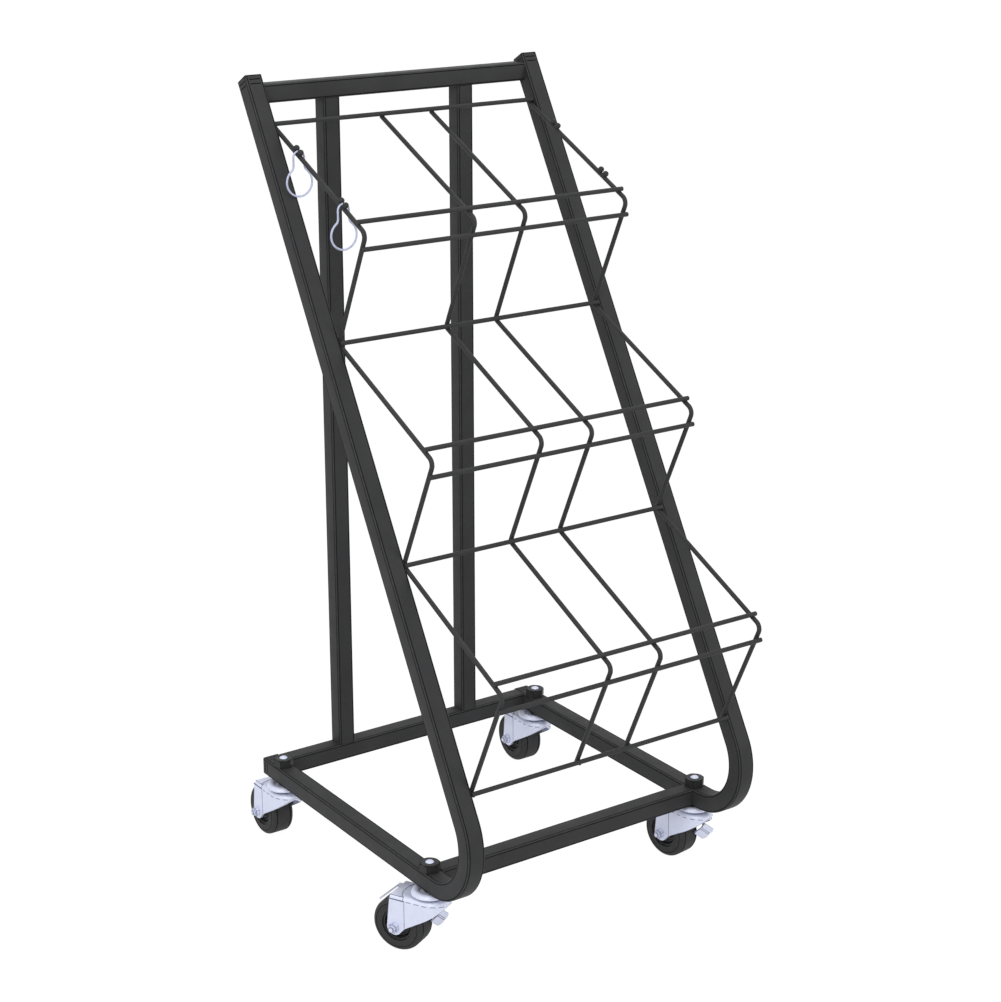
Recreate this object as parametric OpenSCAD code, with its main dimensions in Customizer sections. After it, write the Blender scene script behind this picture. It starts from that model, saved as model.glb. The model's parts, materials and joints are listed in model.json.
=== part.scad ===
// Periodical display rack on casters, in millimetres, +Z up, front towards -Y.
// The origin lies on the floor, on the middle plane, midway between the front
// and the rear caster stems.

/* [Frame] */
// Width over the two side tubes
frame_w = 475; // [420:1:560]
// Side of the square tube
tube = 25.4; // [24:0.1:28]
// Wall of the square tube
tube_wall = 1.6; // [1.2:0.1:2]
// Outside corner radius of the square tube
tube_corner = 2.4; // [2.2:0.1:3]
// Lean of the display from upright, in degrees
lean = 30; // [27:1:33]
// Centre-line radius of the bend at the foot of each side tube
bend_r = 76.2; // [60:0.1:84]
// Distance between the front and the rear caster stems
wheelbase = 393.5; // [360:0.5:430]
// Run of the side tube ahead of the front stems, to the corner of its centre lines
corner_ahead = 155; // [140:1:175]
// Distance from the rear stems back to the rear rail's centre line
rail_behind = 25; // [23:0.5:28]
// Length of side tube above the point where it meets the plane of the rear posts
top_overrun = 10.9; // [8:0.1:20]
// Drop of the crossbar's centre below that same point
crossbar_drop = 9.1; // [6:0.1:12]
// Spacing of the two rear posts, centre to centre
post_gap = 218.6; // [160:0.1:300]

/* [End plugs] */
// Thickness of the plug's cover
plug_cover = 1.8; // [1.2:0.1:3]
// Rounding of the cover's edge
plug_edge = 0.9; // [0.4:0.1:1.1]
// Depth of the plug's shank inside the tube
plug_shank = 12; // [8:0.5:20]
// Clearance between the shank and the tube's wall, each side
plug_clearance = 0.1; // [0.05:0.05:0.3]
// Wall of the hollow shank
plug_wall = 1.6; // [1:0.1:2.5]

/* [Wire tiers] */
// Diameter of the display wire
wire_d = 6.35; // [5:0.05:8]
// Length of a tier's shelf stretch, between the corners of its centre lines
shelf_len = 250; // [220:1:262]
// Length of a tier's front stretch, square to the shelf
front_len = 175; // [150:1:185]
// Number of tiers
tiers = 3; // [1:1:3]
// Distance from the tube's cut end down to the first wire corner
tier_drop = 74.5; // [60:0.1:90]
// Distance of the rear wire corners ahead of the tube's centre line
corner_set = 3.3; // [2:0.1:5]
// Bend radius of the wire at each nose
nose_bend = 10; // [7:0.5:14]
// Bend radius of the wire at each rear corner
back_bend = 4; // [3.6:0.1:6]
// Spacing of the two middle zigzag wires
middle_gap = 81.2; // [50:0.1:120]
// Distance of the two wires near each nose from the nose's corner
nose_wire_set = 19; // [16:0.5:30]

/* [Rings and pegs] */
// Diameter of the ring's wire
ring_wire_d = 2.8; // [2:0.1:3.6]
// Radius of the ring's round loop
ring_loop_r = 19; // [15:0.5:24]
// Half width of the ring's neck
ring_neck_r = 8.2; // [7:0.1:10]
// Distance from the neck's centre to the loop's centre
ring_drop = 32.5; // [30:0.1:38]
// Radius of the bends between neck and loop
ring_fillet = 8.6; // [5:0.1:10]
// Lean of the upper ring against the side tube, in degrees
upper_ring_lean = 1.2; // [1.2:0.1:6]
// Clearance between a ring's wire and the display wire that it hangs on
ring_clearance = 0.3; // [0.05:0.05:0.3]
// Spacing of the two ball pegs that keep a ring in place
peg_gap = 11.5; // [11.4:0.1:14]
// Diameter of a ball peg
peg_d = 8.4; // [7:0.1:8.5]

/* [Casters] */
// Height from the floor to the underside of the tubes
caster_h = 96.3; // [94:0.1:110]
// Diameter of the wheel
wheel_d = 75; // [70:0.5:76]
// Width of the tread over the side walls
wheel_w = 35; // [30:0.5:36]
// Rounding of the tread's shoulders
tread_round = 6.7; // [5:0.1:8]
// Offset of the wheel's axle behind the stem
trail = 42; // [40:0.5:46]
// Swivel of the front left caster from straight back, in degrees
swivel_front_left = 27.5; // [-90:0.5:90]
// Swivel of the front right caster from straight back, in degrees
swivel_front_right = 8.3; // [-90:0.1:90]
// Half width of the fork over its side walls
fork_half_w = 23; // [22:0.5:25]
// Sheet thickness of the fork
fork_t = 3; // [2.5:0.1:3.2]
// Radius of the fork's rounded shoulder
fork_shoulder = 6; // [4.5:0.5:7]
// Radius of the fork's curved flanks, seen from above
flank_r = 34; // [32:0.5:40]
// Radius of the fork's nose, seen from above
nose_r = 8; // [7.5:0.1:10]
// Drop from the tubes to the fork's top plate
fork_drop = 11.7; // [11:0.1:14]
// Diameter of the threaded stem
stem_d = 12; // [10:0.5:12]
// Height of the dome of the stem above its nut
stem_end = 2.6; // [1:0.1:5]
// Width of the stem's nut across its flats
nut_flats = 25.4; // [19:0.1:25.4]
// Height of the stem's nut
nut_h = 11.5; // [8:0.5:14]
// Turn of the nuts, in degrees
nut_turn = 43; // [0:1:60]
// Radius of the axle bolt
axle_r = 4; // [3:0.5:5]

/* [Hidden] */
$fn = 64;

powder_black = "#46474a";
nut_black = "#3a3a3c";
plug_black = "#3c3c3e";
zinc = "#d6daea";
rubber_black = "#3f4042";
hub_black = "#333335";

// One overrun for every cut that passes through a wall
cut_over = 1;
// Gap between faces of pieces that move past each other
face_gap = 0.3;
// Radial clearance of a shaft that turns in its hole
running_gap = 0.05;
// Radial clearance between a thread and its nut, or a stem and its rings
thread_gap = 0.05;

// Growth of the tube's section in the bend, where its wall is drawn and pushed
bend_grow = 0.02;

// Frame lines, seen from the side
stem_y = wheelbase / 2;
corner_y = -stem_y - corner_ahead;
post_y = stem_y + rail_behind;
tube_z = caster_h + tube / 2;
side_x = frame_w / 2 - tube / 2;
inner_x = frame_w / 2 - tube;
floor_run = post_y + tube / 2 - corner_y;
post_run = post_y - corner_y;
lean_run = post_run / sin(lean) + top_overrun;
crossbar_z = tube_z + post_run / tan(lean) - crossbar_drop;
bend_turn = 90 + lean;
bend_tangent = bend_r * tan(bend_turn / 2);

// Tier geometry in the leaning plane: ahead of the tube, and up along it
wire_r = wire_d / 2;
tier_angle = atan(front_len / shelf_len);
tier_pitch = norm([shelf_len, front_len]);
shelf_dir = [sin(tier_angle), -cos(tier_angle)];
front_dir = [-cos(tier_angle), -sin(tier_angle)];
outer_wire_x = inner_x - wire_r;
middle_wire_x = middle_gap / 2;
wire_xs = [-outer_wire_x, -middle_wire_x, middle_wire_x, outer_wire_x];
// Reach of the zigzag wires past the first corner, to carry the top wire
top_reach = wire_d;
stem_hole_r = stem_d / 2 + 0.02 * stem_d;

// Steps along a ring's neck, bends and loop, and sides of its wire
neck_steps = 8;
fillet_steps = 6;
loop_steps = 16;
ring_sides = 10;

// Caster heights above the floor, and places from the stem's axis
axle_z = wheel_d / 2;
fork_top = caster_h - fork_drop;
fork_under = fork_top - fork_t;
fork_inner = fork_half_w - fork_t;
flank_centre = flank_r - fork_half_w;
nose_centre = sqrt(pow(flank_r - nose_r, 2) - pow(flank_centre, 2));
nose_reach = nose_centre + nose_r;
flank_turn = atan2(nose_centre, flank_centre);
// Radius of the rounded end of each fork leg, about the axle
leg_r = 11.4;
fork_rear = trail + leg_r + cut_over;
// Steps round a flank, the nose, the shoulder, a leg's end and the lower edge
flank_steps = 12;
nose_steps = 8;
shoulder_steps = 5;
leg_steps = 16;
curve_steps = 20;
// Place of the crease between flank and leg, behind the stem
crease_e = 27;
// Rear edge of the top plate, behind the stem
plate_rear = 49;
// How far the flat leg plates stand out from the flanks
leg_proud = 0.5;
// Radius of the raised round field on the top plate, and the step at its edge
field_r = 37;
field_step = 0.8;
// Lower edge of the flank: shares of the reach from crease to nose, and of the
// height from the axle to the top plate
edge_start_shares = [0.37, 0.30];
edge_end_shares = [0.83, 0.56];
edge_nose_share = 0.91;

// Ball race under the domed cup
cup_rim_r = 25.5;
cup_round = 6;
cup_crest_drop = 1.8;
cup_web = 2.5;
ball_d = 6.35;
ball_count = 12;
race_r = cup_rim_r - cup_round;
cup_z = caster_h - cup_crest_drop - cup_round;
ball_z = fork_top + face_gap + ball_d / 2;
groove_r = ball_d / 2 + 0.02 * ball_d;
collar_r = 8;
stem_head_r = 9;
stem_head_h = 3.6;

// Wheel
wheel_half_w = wheel_w / 2;
tyre_inner_r = 22;
groove_w = 1;
groove_depth = 0.5;
hub_rim_half_w = 15;
hub_rim_t = 2.6;
hub_web_t = 8;
boss_r = 9;
boss_half_w = fork_inner - face_gap;
bolt_head_r = 7.5;
bolt_head_h = 3.4;
// Height that is cut off the head's dome, which leaves a small flat
bolt_head_flat = 0.4;
bolt_end = 1.6;
bolt_end_round = 0.6;
// Lock nut of the axle bolt: hexagon below, round collar above
bolt_nut_flats = 13;
bolt_hex_h = 5;
bolt_nut_h = 8;
bolt_collar_r = 5.6;
bolt_collar_round = 1.2;

// Brake lever, on the right of the front wheels
lever_t = 2;
lever_wall_gap = 1;
lever_plate_gap = 1.5;
pivot_e = 10;
pivot_drop = 15.6;
pivot_r = 3;
ear_r = 7.5;
tongue_inner = 9.5;
knee_e = 57;
tongue_tip_e = 85;
tongue_slope = 43;
pedal_side = 10.8;
pedal_ahead = 4.3;
pedal_height = 51.6;
pedal_root = [pedal_side, -pedal_ahead, pedal_height];
pedal_slope = 39;
pedal_len = 27;
pedal_up = 9;
pedal_down = 13;
pedal_round = 4.4;
pedal_up_tilt = 12;
pedal_down_tilt = 36;
// Depth of the ear's foot in the pedal, and the foot's height
pedal_bite = 1;
foot_h = 8;
ear_steps = 12;
corner_steps = 6;
rivet_head_r = 4.5;
rivet_head_h = 1.6;

// Corners of the zigzag, as [ahead of the tube, up along it]
function corner_up(i) = lean_run - tier_drop - i * tier_pitch;
function back_corner(i) = [corner_set, corner_up(i)];
function nose_corner(i) = back_corner(i) + shelf_len * shelf_dir;

// A point of the leaning plane, in the frame's own axes
function leaning(x, p) = [
  x,
  corner_y + p[1] * sin(lean) - p[0] * cos(lean),
  tube_z + p[1] * cos(lean) + p[0] * sin(lean)
];
module in_leaning_plane(x)
  translate([x, corner_y, tube_z]) rotate([-lean, 0, 0]) rotate([90, 0, -90]) children();

// Square with round corners, centred
module round_square(side, r) {
  square([side, side - 2 * r], center = true);
  square([side - 2 * r, side], center = true);
  for (a = [0 : 90 : 270]) rotate(a) translate([side / 2 - r, side / 2 - r]) circle(r);
}

module tube_section(grow) difference() {
  round_square(tube + 2 * grow, tube_corner + grow);
  round_square(tube - 2 * tube_wall - 2 * grow, tube_corner - tube_wall - grow);
}

module square_tube(length) linear_extrude(length) tube_section(0);

// A length of square tube along X, centred
module cross_tube(length)
  translate([-length / 2, 0, 0]) rotate([90, 0, 90]) square_tube(length);

// Side tube: floor run, bend and leaning run, drilled for the two stems
module side_tube(x) color(powder_black) difference() {
  translate([x, corner_y, tube_z]) {
    translate([0, bend_tangent - bend_grow, 0]) rotate([-90, 0, 0])
      square_tube(floor_run - bend_tangent + bend_grow);
    rotate([-lean, 0, 0]) translate([0, 0, bend_tangent - bend_grow])
      square_tube(lean_run - bend_tangent + bend_grow);
    translate([0, bend_tangent, bend_r]) rotate([90, 0, -90]) rotate(-90)
      rotate_extrude(angle = bend_turn) translate([bend_r, 0]) tube_section(bend_grow);
  }
  for (y = [-stem_y, stem_y])
    translate([x, y, caster_h - cut_over]) cylinder(h = tube + 2 * cut_over, r = stem_hole_r);
}

module top_crossbar() color(powder_black)
  translate([0, post_y, crossbar_z]) cross_tube(2 * inner_x);

module rear_post(x) color(powder_black)
  translate([x, post_y, tube_z + tube / 2]) square_tube(crossbar_z - tube_z - tube);

module base_rail(y) color(powder_black) translate([0, y, tube_z]) cross_tube(2 * inner_x);

// Plug: a rounded cover on a hollow shank, along +Z from the tube's cut end
module end_plug() color(plug_black) {
  shank = tube - 2 * tube_wall - 2 * plug_clearance;
  shank_corner = tube_corner - tube_wall;
  hull() {
    linear_extrude(plug_cover - plug_edge) round_square(tube, tube_corner);
    translate([0, 0, plug_cover - plug_edge])
      for (turn = [0 : 90 : 270]) rotate(turn)
        translate([tube / 2 - tube_corner, tube / 2 - tube_corner, 0])
          rotate_extrude($fn = 32) intersection() {
            translate([tube_corner - plug_edge, 0]) circle(plug_edge);
            square(tube_corner);
          }
  }
  translate([0, 0, -plug_shank]) linear_extrude(plug_shank) difference() {
    round_square(shank, shank_corner);
    square(shank - 2 * plug_wall, center = true);
  }
}

module top_plug(x) in_leaning_plane(x) translate([0, lean_run, 0]) rotate([-90, 0, 0]) end_plug();

module rear_plug(x)
  translate([x, corner_y + floor_run, tube_z]) rotate([-90, 0, 0]) end_plug();

// Zigzag wire, laid run by run along +X, with quarter bends between the runs
module wire_run(length) rotate([0, 90, 0]) cylinder(h = length, r = wire_r);
module wire_bend(r) translate([0, r, 0]) rotate(-90)
  rotate_extrude(angle = 90) translate([r, 0]) circle(wire_r);
module past_bend(r) translate([r, r, 0]) rotate(90) children();

module wire_tier(left) {
  shelf_run = shelf_len - nose_bend + (left == tiers ? top_reach : -back_bend);
  front_run = front_len - nose_bend - (left == 1 ? 0 : back_bend);
  wire_run(shelf_run);
  translate([shelf_run, 0, 0]) mirror([0, 1, 0]) {
    wire_bend(nose_bend);
    past_bend(nose_bend) {
      wire_run(front_run);
      if (left > 1) translate([front_run, 0, 0]) mirror([0, 1, 0]) {
        wire_bend(back_bend);
        past_bend(back_bend) wire_tier(left - 1);
      }
    }
  }
}

module zigzag_wire(x) color(powder_black)
  in_leaning_plane(x) translate(back_corner(0) - top_reach * shelf_dir)
    rotate(tier_angle - 90) wire_tier(tiers);

// Straight wire across the rack, its middle at a point of the leaning plane
module cross_wire(p, half_len) color(powder_black)
  translate(leaning(0, p)) rotate([0, 90, 0]) cylinder(h = 2 * half_len, r = wire_r, center = true);

// Wire across the upper ends of the zigzag wires, flush with them
module top_wire() cross_wire(
  back_corner(0) + (wire_r - top_reach) * shelf_dir - wire_d * front_dir, inner_x);

// Wire that lies in a rear corner, against the shelf wires and the front wires
module back_wire(i) cross_wire(back_corner(i) + wire_d * (shelf_dir - front_dir), inner_x);

// Wires either side of a nose, one on the shelf and one on the front
module shelf_wire(i) cross_wire(
  nose_corner(i) - nose_wire_set * shelf_dir - wire_d * front_dir, outer_wire_x + wire_r);
module front_wire(i) cross_wire(
  nose_corner(i) + nose_wire_set * front_dir + wire_d * shelf_dir, outer_wire_x + wire_r);

// Height of the flat on top of a ball peg
peg_flat = 0.1;
// Places of the rings along the top shelf, as shares of its length
ring_place_shares = [0.25, 0.75];
function shelf_point(share, out) = back_corner(0) + share * shelf_len * shelf_dir - out * front_dir;

// Ball pegs, each with a saddle that sits on the display wire
module ring_pegs(x) color(powder_black) for (share = ring_place_shares) difference() {
  for (side = [-1, 1])
    translate(leaning(x, shelf_point(share, wire_d) + side * peg_gap / 2 * shelf_dir))
      intersection() {
        sphere(d = peg_d);
        translate([0, 0, -peg_flat]) cube(peg_d, center = true);
      }
  in_leaning_plane(x) translate(shelf_point(share, 0) - peg_gap * shelf_dir)
    rotate(tier_angle - 90) wire_run(2 * peg_gap);
}

// Pear-shaped ring in the XY plane, its neck's crown at the origin, hanging down -Y:
// stations down its right half, each with the turn of its outward side
function pear_half() = let (
  fillet_x = ring_neck_r + ring_fillet,
  loop_y = -ring_neck_r - ring_drop,
  fillet_y = loop_y + sqrt(pow(ring_loop_r + ring_fillet, 2) - pow(fillet_x, 2)),
  side = atan2(fillet_y - loop_y, fillet_x)
) [
  for (i = [0 : neck_steps]) let (a = 90 - 90 * i / neck_steps)
    [[ring_neck_r * cos(a), ring_neck_r * sin(a) - ring_neck_r], a],
  for (i = [0 : fillet_steps]) let (a = side * i / fillet_steps)
    [[fillet_x, fillet_y] - ring_fillet * [cos(a), sin(a)], a],
  for (i = [1 : loop_steps]) let (a = side - (90 + side) * i / loop_steps)
    [[0, loop_y] + ring_loop_r * [cos(a), sin(a)], a]
];

module pear_ring() {
  right = pear_half();
  stations = concat(right, [
    for (i = [len(right) - 2 : -1 : 1]) [[-right[i][0][0], right[i][0][1]], 180 - right[i][1]]
  ]);
  n = len(stations);
  polyhedron(
    points = [
      for (s = stations, j = [0 : ring_sides - 1]) let (
        out = ring_wire_d / 2 * cos(360 * j / ring_sides)
      ) [
        s[0][0] + out * cos(s[1]), s[0][1] + out * sin(s[1]),
        ring_wire_d / 2 * sin(360 * j / ring_sides)
      ]
    ],
    faces = [
      for (i = [0 : n - 1], j = [0 : ring_sides - 1]) let (
        a = i * ring_sides, b = (i + 1) % n * ring_sides, k = (j + 1) % ring_sides
      ) [a + j, b + j, b + k, a + k]
    ]
  );
}

module hanging_ring(share, tilt) color(zinc)
  translate(leaning(-outer_wire_x, shelf_point(share, wire_r + ring_wire_d / 2 + ring_clearance)))
    rotate([90 - tilt, 0, 0]) pear_ring();

// Casters: the places of the four stems, and a frame turned with the swivel
function stem_at(c) = [c[0] * side_x, c[1] * stem_y, 0];
front_left = [-1, -1, swivel_front_left];
front_right = [1, -1, swivel_front_right];
rear_left = [-1, 1, 0];
rear_right = [1, 1, 0];
all_casters = [front_left, front_right, rear_left, rear_right];
module at_stem(c) translate(stem_at(c)) rotate(c[2]) children();

module stem_nuts() color(nut_black)
  for (c = all_casters) translate(stem_at(c) + [0, 0, caster_h + tube]) rotate(nut_turn)
    difference() {
      intersection() {
        cylinder(h = nut_h, r = nut_flats / sqrt(3), $fn = 6);
        nut_chamfer();
      }
      translate([0, 0, -cut_over]) cylinder(h = nut_h + 2 * cut_over, r = stem_d / 2 + thread_gap);
    }

// Cone-cut blank that rounds off a nut's upper corners
module nut_chamfer() rotate_extrude() polygon([
  [0, 0], [nut_flats / sqrt(3), 0], [nut_flats / sqrt(3), nut_h - nut_flats / 16],
  [nut_flats / 2, nut_h], [0, nut_h]
]);

module stem_collars() color(nut_black)
  for (c = all_casters) translate(stem_at(c) + [0, 0, cup_z + cup_web]) difference() {
    cylinder(h = caster_h - cup_z - cup_web, r = collar_r);
    translate([0, 0, -cut_over])
      cylinder(h = caster_h - cup_z + 2 * cut_over, r = stem_d / 2 + thread_gap);
  }

// Stem: domed thread end, shaft and the riveted head under the fork
module caster_stems() color(zinc) for (c = all_casters) translate(stem_at(c)) {
  shaft_top = caster_h + tube + nut_h;
  head_top = fork_under - face_gap;
  dome_r = (pow(stem_d / 2, 2) + pow(stem_end, 2)) / (2 * stem_end);
  translate([0, 0, head_top]) cylinder(h = shaft_top - head_top, r = stem_d / 2);
  translate([0, 0, head_top - stem_head_h]) cylinder(h = stem_head_h, r = stem_head_r);
  intersection() {
    translate([0, 0, shaft_top + stem_end - dome_r]) sphere(dome_r);
    translate([0, 0, shaft_top]) cylinder(h = stem_end, r = stem_d / 2);
  }
}

module swivel_balls() color(zinc)
  for (c = all_casters, i = [0 : ball_count - 1])
    translate(stem_at(c)) rotate(i * 360 / ball_count) translate([race_r, 0, ball_z])
      sphere(d = ball_d);

// Domed cup over the balls, fixed to the stem
module race_cup(c) color(zinc) translate(stem_at(c)) rotate_extrude() difference() {
  union() {
    translate([race_r, cup_z]) circle(cup_round);
    translate([stem_d / 2 + thread_gap, cup_z])
      square([race_r - stem_d / 2 - thread_gap, cup_web]);
  }
  translate([race_r, ball_z]) circle(groove_r);
  translate([0, cup_z - cup_round - cut_over]) square([cup_rim_r + cut_over, cup_round + cut_over]);
}

// Plan of the fork at an inset from its outer face: back along each leg, round
// each flank, and round the nose
function fork_plan(inset, rear) = let (right = [
  [fork_half_w - inset, rear],
  for (i = [0 : flank_steps]) let (a = flank_turn * i / flank_steps)
    [(flank_r - inset) * cos(a) - flank_centre, -(flank_r - inset) * sin(a)]
]) concat(
  right,
  [for (i = [1 : nose_steps - 1]) let (a = between(flank_turn, 180 - flank_turn, i / nose_steps))
    [(nose_r - inset) * cos(a), -nose_centre - (nose_r - inset) * sin(a)]],
  [for (i = [len(right) - 1 : -1 : 0]) [-right[i][0], right[i][1]]]
);

// Block of that plan up to a rounded top edge
module fork_block(inset, rear, top, round) {
  levels = [
    [inset, 0],
    for (i = [0 : shoulder_steps]) let (a = 90 * i / shoulder_steps)
      [inset + round * (1 - cos(a)), top - round + round * sin(a)]
  ];
  n = len(fork_plan(inset, rear));
  last = (len(levels) - 1) * n;
  polyhedron(
    points = [for (l = levels, p = fork_plan(l[0], rear)) [p[0], p[1], l[1]]],
    faces = [
      [for (i = [n - 1 : -1 : 0]) i],
      [for (i = [0 : n - 1]) last + i],
      for (k = [0 : len(levels) - 2], i = [0 : n - 1]) let (a = k * n, j = (i + 1) % n)
        [a + i, a + j, a + n + j, a + n + i]
    ]
  );
}

// Side view of the fork: rear edge, round leg, and the flank's curved lower edge
function between(a, b, t) = a + (b - a) * t;
function flank_curve(t) = let (
  foot = [crease_e, axle_z],
  tip = [-nose_reach, axle_z + edge_nose_share * (fork_top - axle_z)],
  near = foot + [edge_start_shares[0] * (tip[0] - foot[0]), edge_start_shares[1] * (fork_top - axle_z)],
  far = foot + [edge_end_shares[0] * (tip[0] - foot[0]), edge_end_shares[1] * (fork_top - axle_z)],
  a = between(foot, near, t), b = between(near, far, t), c = between(far, tip, t)
) between(between(a, b, t), between(b, c, t), t);

module fork_side() {
  rear_corner = [plate_rear - trail, fork_top - axle_z];
  rear_touch = atan2(rear_corner[1], rear_corner[0]) - acos(leg_r / norm(rear_corner));
  front_touch = acos(leg_r / (trail - crease_e)) - 180;
  polygon([
    for (i = [0 : curve_steps]) flank_curve(i / curve_steps),
    [-nose_reach - cut_over, flank_curve(1)[1]],
    [-nose_reach - cut_over, fork_top + cut_over],
    [plate_rear, fork_top + cut_over],
    [plate_rear, fork_top],
    for (i = [0 : leg_steps]) let (a = between(rear_touch, front_touch, i / leg_steps))
      [trail + leg_r * cos(a), axle_z + leg_r * sin(a)]
  ]);
}

// Side view extruded across the caster
module across(half_w) rotate([90, 0, 90]) translate([0, 0, -half_w]) linear_extrude(2 * half_w) children();

module fork_shell() intersection() {
  union() {
    difference() {
      fork_block(0, fork_rear, fork_top, fork_shoulder);
      translate([0, 0, -cut_over])
        fork_block(fork_t, fork_rear + cut_over, fork_under + cut_over, fork_shoulder - fork_t);
    }
    leg_plates();
  }
  across(fork_half_w + leg_proud + cut_over) fork_side();
}

// Flat plates of the two legs, standing a little proud of the flanks
module leg_plates() for (side = [0, 1]) mirror([side, 0, 0])
  linear_extrude(fork_top - fork_shoulder) polygon([
    [fork_half_w - leg_proud, crease_e], [fork_half_w, crease_e],
    [fork_half_w + leg_proud, crease_e + 2 * leg_proud],
    [fork_half_w + leg_proud, fork_rear], [fork_half_w - leg_proud, fork_rear]
  ]);

module fork(c, braked) color(zinc) at_stem(c) difference() {
  fork_shell();
  translate([0, 0, fork_under - cut_over])
    cylinder(h = fork_t + 2 * cut_over, r = stem_d / 2 + running_gap);
  difference() {
    translate([-fork_half_w, 0, fork_top - field_step])
      cube([2 * fork_half_w, plate_rear + cut_over, field_step + cut_over]);
    translate([0, 0, fork_top - 2 * field_step]) cylinder(h = 2 * field_step + 2 * cut_over, r = field_r);
  }
  across(fork_half_w + leg_proud + cut_over) translate([trail, axle_z]) circle(axle_r + running_gap);
  if (braked)
    translate([fork_inner - cut_over, pivot_e, fork_top - pivot_drop]) rotate([0, 90, 0])
      cylinder(h = fork_t + 2 * cut_over, r = pivot_r + running_gap);
}

// Lock nut of the axle bolt, along +Z from the fork's leg
module lock_nut() difference() {
  union() {
    cylinder(h = bolt_hex_h, r = bolt_nut_flats / sqrt(3), $fn = 6);
    rotate_extrude() polygon([
      [0, 0], [bolt_collar_r, 0], [bolt_collar_r, bolt_nut_h - bolt_collar_round],
      [bolt_collar_r - bolt_collar_round, bolt_nut_h], [0, bolt_nut_h]
    ]);
  }
  translate([0, 0, -cut_over]) cylinder(h = bolt_nut_h + 2 * cut_over, r = axle_r + thread_gap);
}

// Axle bolt: domed head on the right, lock nut and thread end on the left
module axle_bolt(c) color(zinc) on_axle(c) rotate([180, 0, 0]) {
  reach = fork_half_w + leg_proud;
  dome_h = bolt_head_h + bolt_head_flat;
  dome_r = (pow(bolt_head_r, 2) + pow(dome_h, 2)) / (2 * dome_h);
  end = reach + bolt_nut_h + bolt_end;
  translate([0, 0, -reach]) cylinder(h = reach + end - bolt_end_round, r = axle_r);
  translate([0, 0, end - bolt_end_round])
    cylinder(h = bolt_end_round, r1 = axle_r, r2 = axle_r - bolt_end_round);
  intersection() {
    translate([0, 0, dome_r - reach - dome_h]) sphere(dome_r);
    translate([0, 0, -reach - bolt_head_h]) cylinder(h = bolt_head_h, r = bolt_head_r);
  }
  translate([0, 0, reach]) lock_nut();
}

// Wheel: a tread with a groove along each round shoulder, on a moulded hub
module tyre_section() difference() {
  union() {
    translate([tyre_inner_r, -wheel_half_w])
      square([wheel_d / 2 - tread_round - tyre_inner_r, wheel_w]);
    translate([tyre_inner_r, tread_round - wheel_half_w])
      square([wheel_d / 2 - tyre_inner_r, wheel_w - 2 * tread_round]);
    for (side = [-1, 1])
      translate([wheel_d / 2 - tread_round, side * (wheel_half_w - tread_round)]) circle(tread_round);
  }
  for (side = [-1, 1])
    translate([wheel_d / 2 - groove_depth, side * (wheel_half_w - tread_round) - groove_w / 2])
      square([groove_depth + cut_over, groove_w]);
}

module on_axle(c) at_stem(c) translate([0, trail, axle_z]) rotate([0, 90, 0]) children();

module tyre(c) color(rubber_black) on_axle(c) rotate_extrude() tyre_section();

module wheel_hub(c) color(hub_black) on_axle(c) rotate_extrude() {
  bore = axle_r + running_gap;
  translate([tyre_inner_r - hub_rim_t, -hub_rim_half_w]) square([hub_rim_t, 2 * hub_rim_half_w]);
  translate([bore, -hub_web_t / 2]) square([tyre_inner_r - bore, hub_web_t]);
  translate([bore, -boss_half_w]) square([boss_r - bore, 2 * boss_half_w]);
}

// Brake lever: an ear on the pivot, a tongue over the wheel and a folded pedal
lever_outer = fork_inner - lever_wall_gap;
lever_top = fork_under - lever_plate_gap;
pivot_z = fork_top - pivot_drop;

// Side view of the ear: up to the tongue, round the pivot, and down to the pedal
module lever_ear() {
  foot_z = pedal_root[2] - (lever_outer - lever_t - pedal_root[0]) * tan(pedal_slope);
  foot_e = pedal_root[1] - pedal_bite;
  translate([lever_outer - lever_t, 0, 0]) rotate([90, 0, 90]) linear_extrude(lever_t) polygon([
    [pivot_e - ear_r, lever_top],
    [pivot_e + ear_r, lever_top],
    for (i = [0 : ear_steps]) let (a = -135 * i / ear_steps)
      [pivot_e + ear_r * cos(a), pivot_z + ear_r * sin(a)],
    [foot_e, foot_z],
    [foot_e - foot_h * tan(pedal_up_tilt) * cos(pedal_slope), foot_z + foot_h],
    [pivot_e - ear_r, pivot_z]
  ]);
}

// Side view of the tongue: flat over the wheel, then down behind the fork
module lever_tongue() {
  tip_drop = (tongue_tip_e - knee_e) * tan(tongue_slope);
  under = lever_t * [-sin(tongue_slope), -cos(tongue_slope)];
  translate([tongue_inner, 0, 0]) rotate([90, 0, 90])
    linear_extrude(lever_outer - tongue_inner) polygon([
      [pivot_e - ear_r, lever_top - lever_t],
      [pivot_e - ear_r, lever_top],
      [knee_e, lever_top],
      [tongue_tip_e, lever_top - tip_drop],
      [tongue_tip_e, lever_top - tip_drop] + under,
      [knee_e - lever_t * tan(tongue_slope / 2), lever_top - lever_t]
    ]);
}

// Pedal: a strip folded along its length, its four corners rounded
module pedal_section() {
  up = [cos(pedal_up_tilt), sin(pedal_up_tilt)];
  down = -[cos(pedal_down_tilt), sin(pedal_down_tilt)];
  up_front = lever_t * [-up[1], up[0]];
  down_front = lever_t * [down[1], -down[0]];
  polygon([
    [0, 0],
    pedal_up * up,
    pedal_up * up + up_front,
    (up_front + down_front) / (1 + up_front * down_front / pow(lever_t, 2)),
    pedal_down * down + down_front,
    pedal_down * down
  ]);
}

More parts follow.
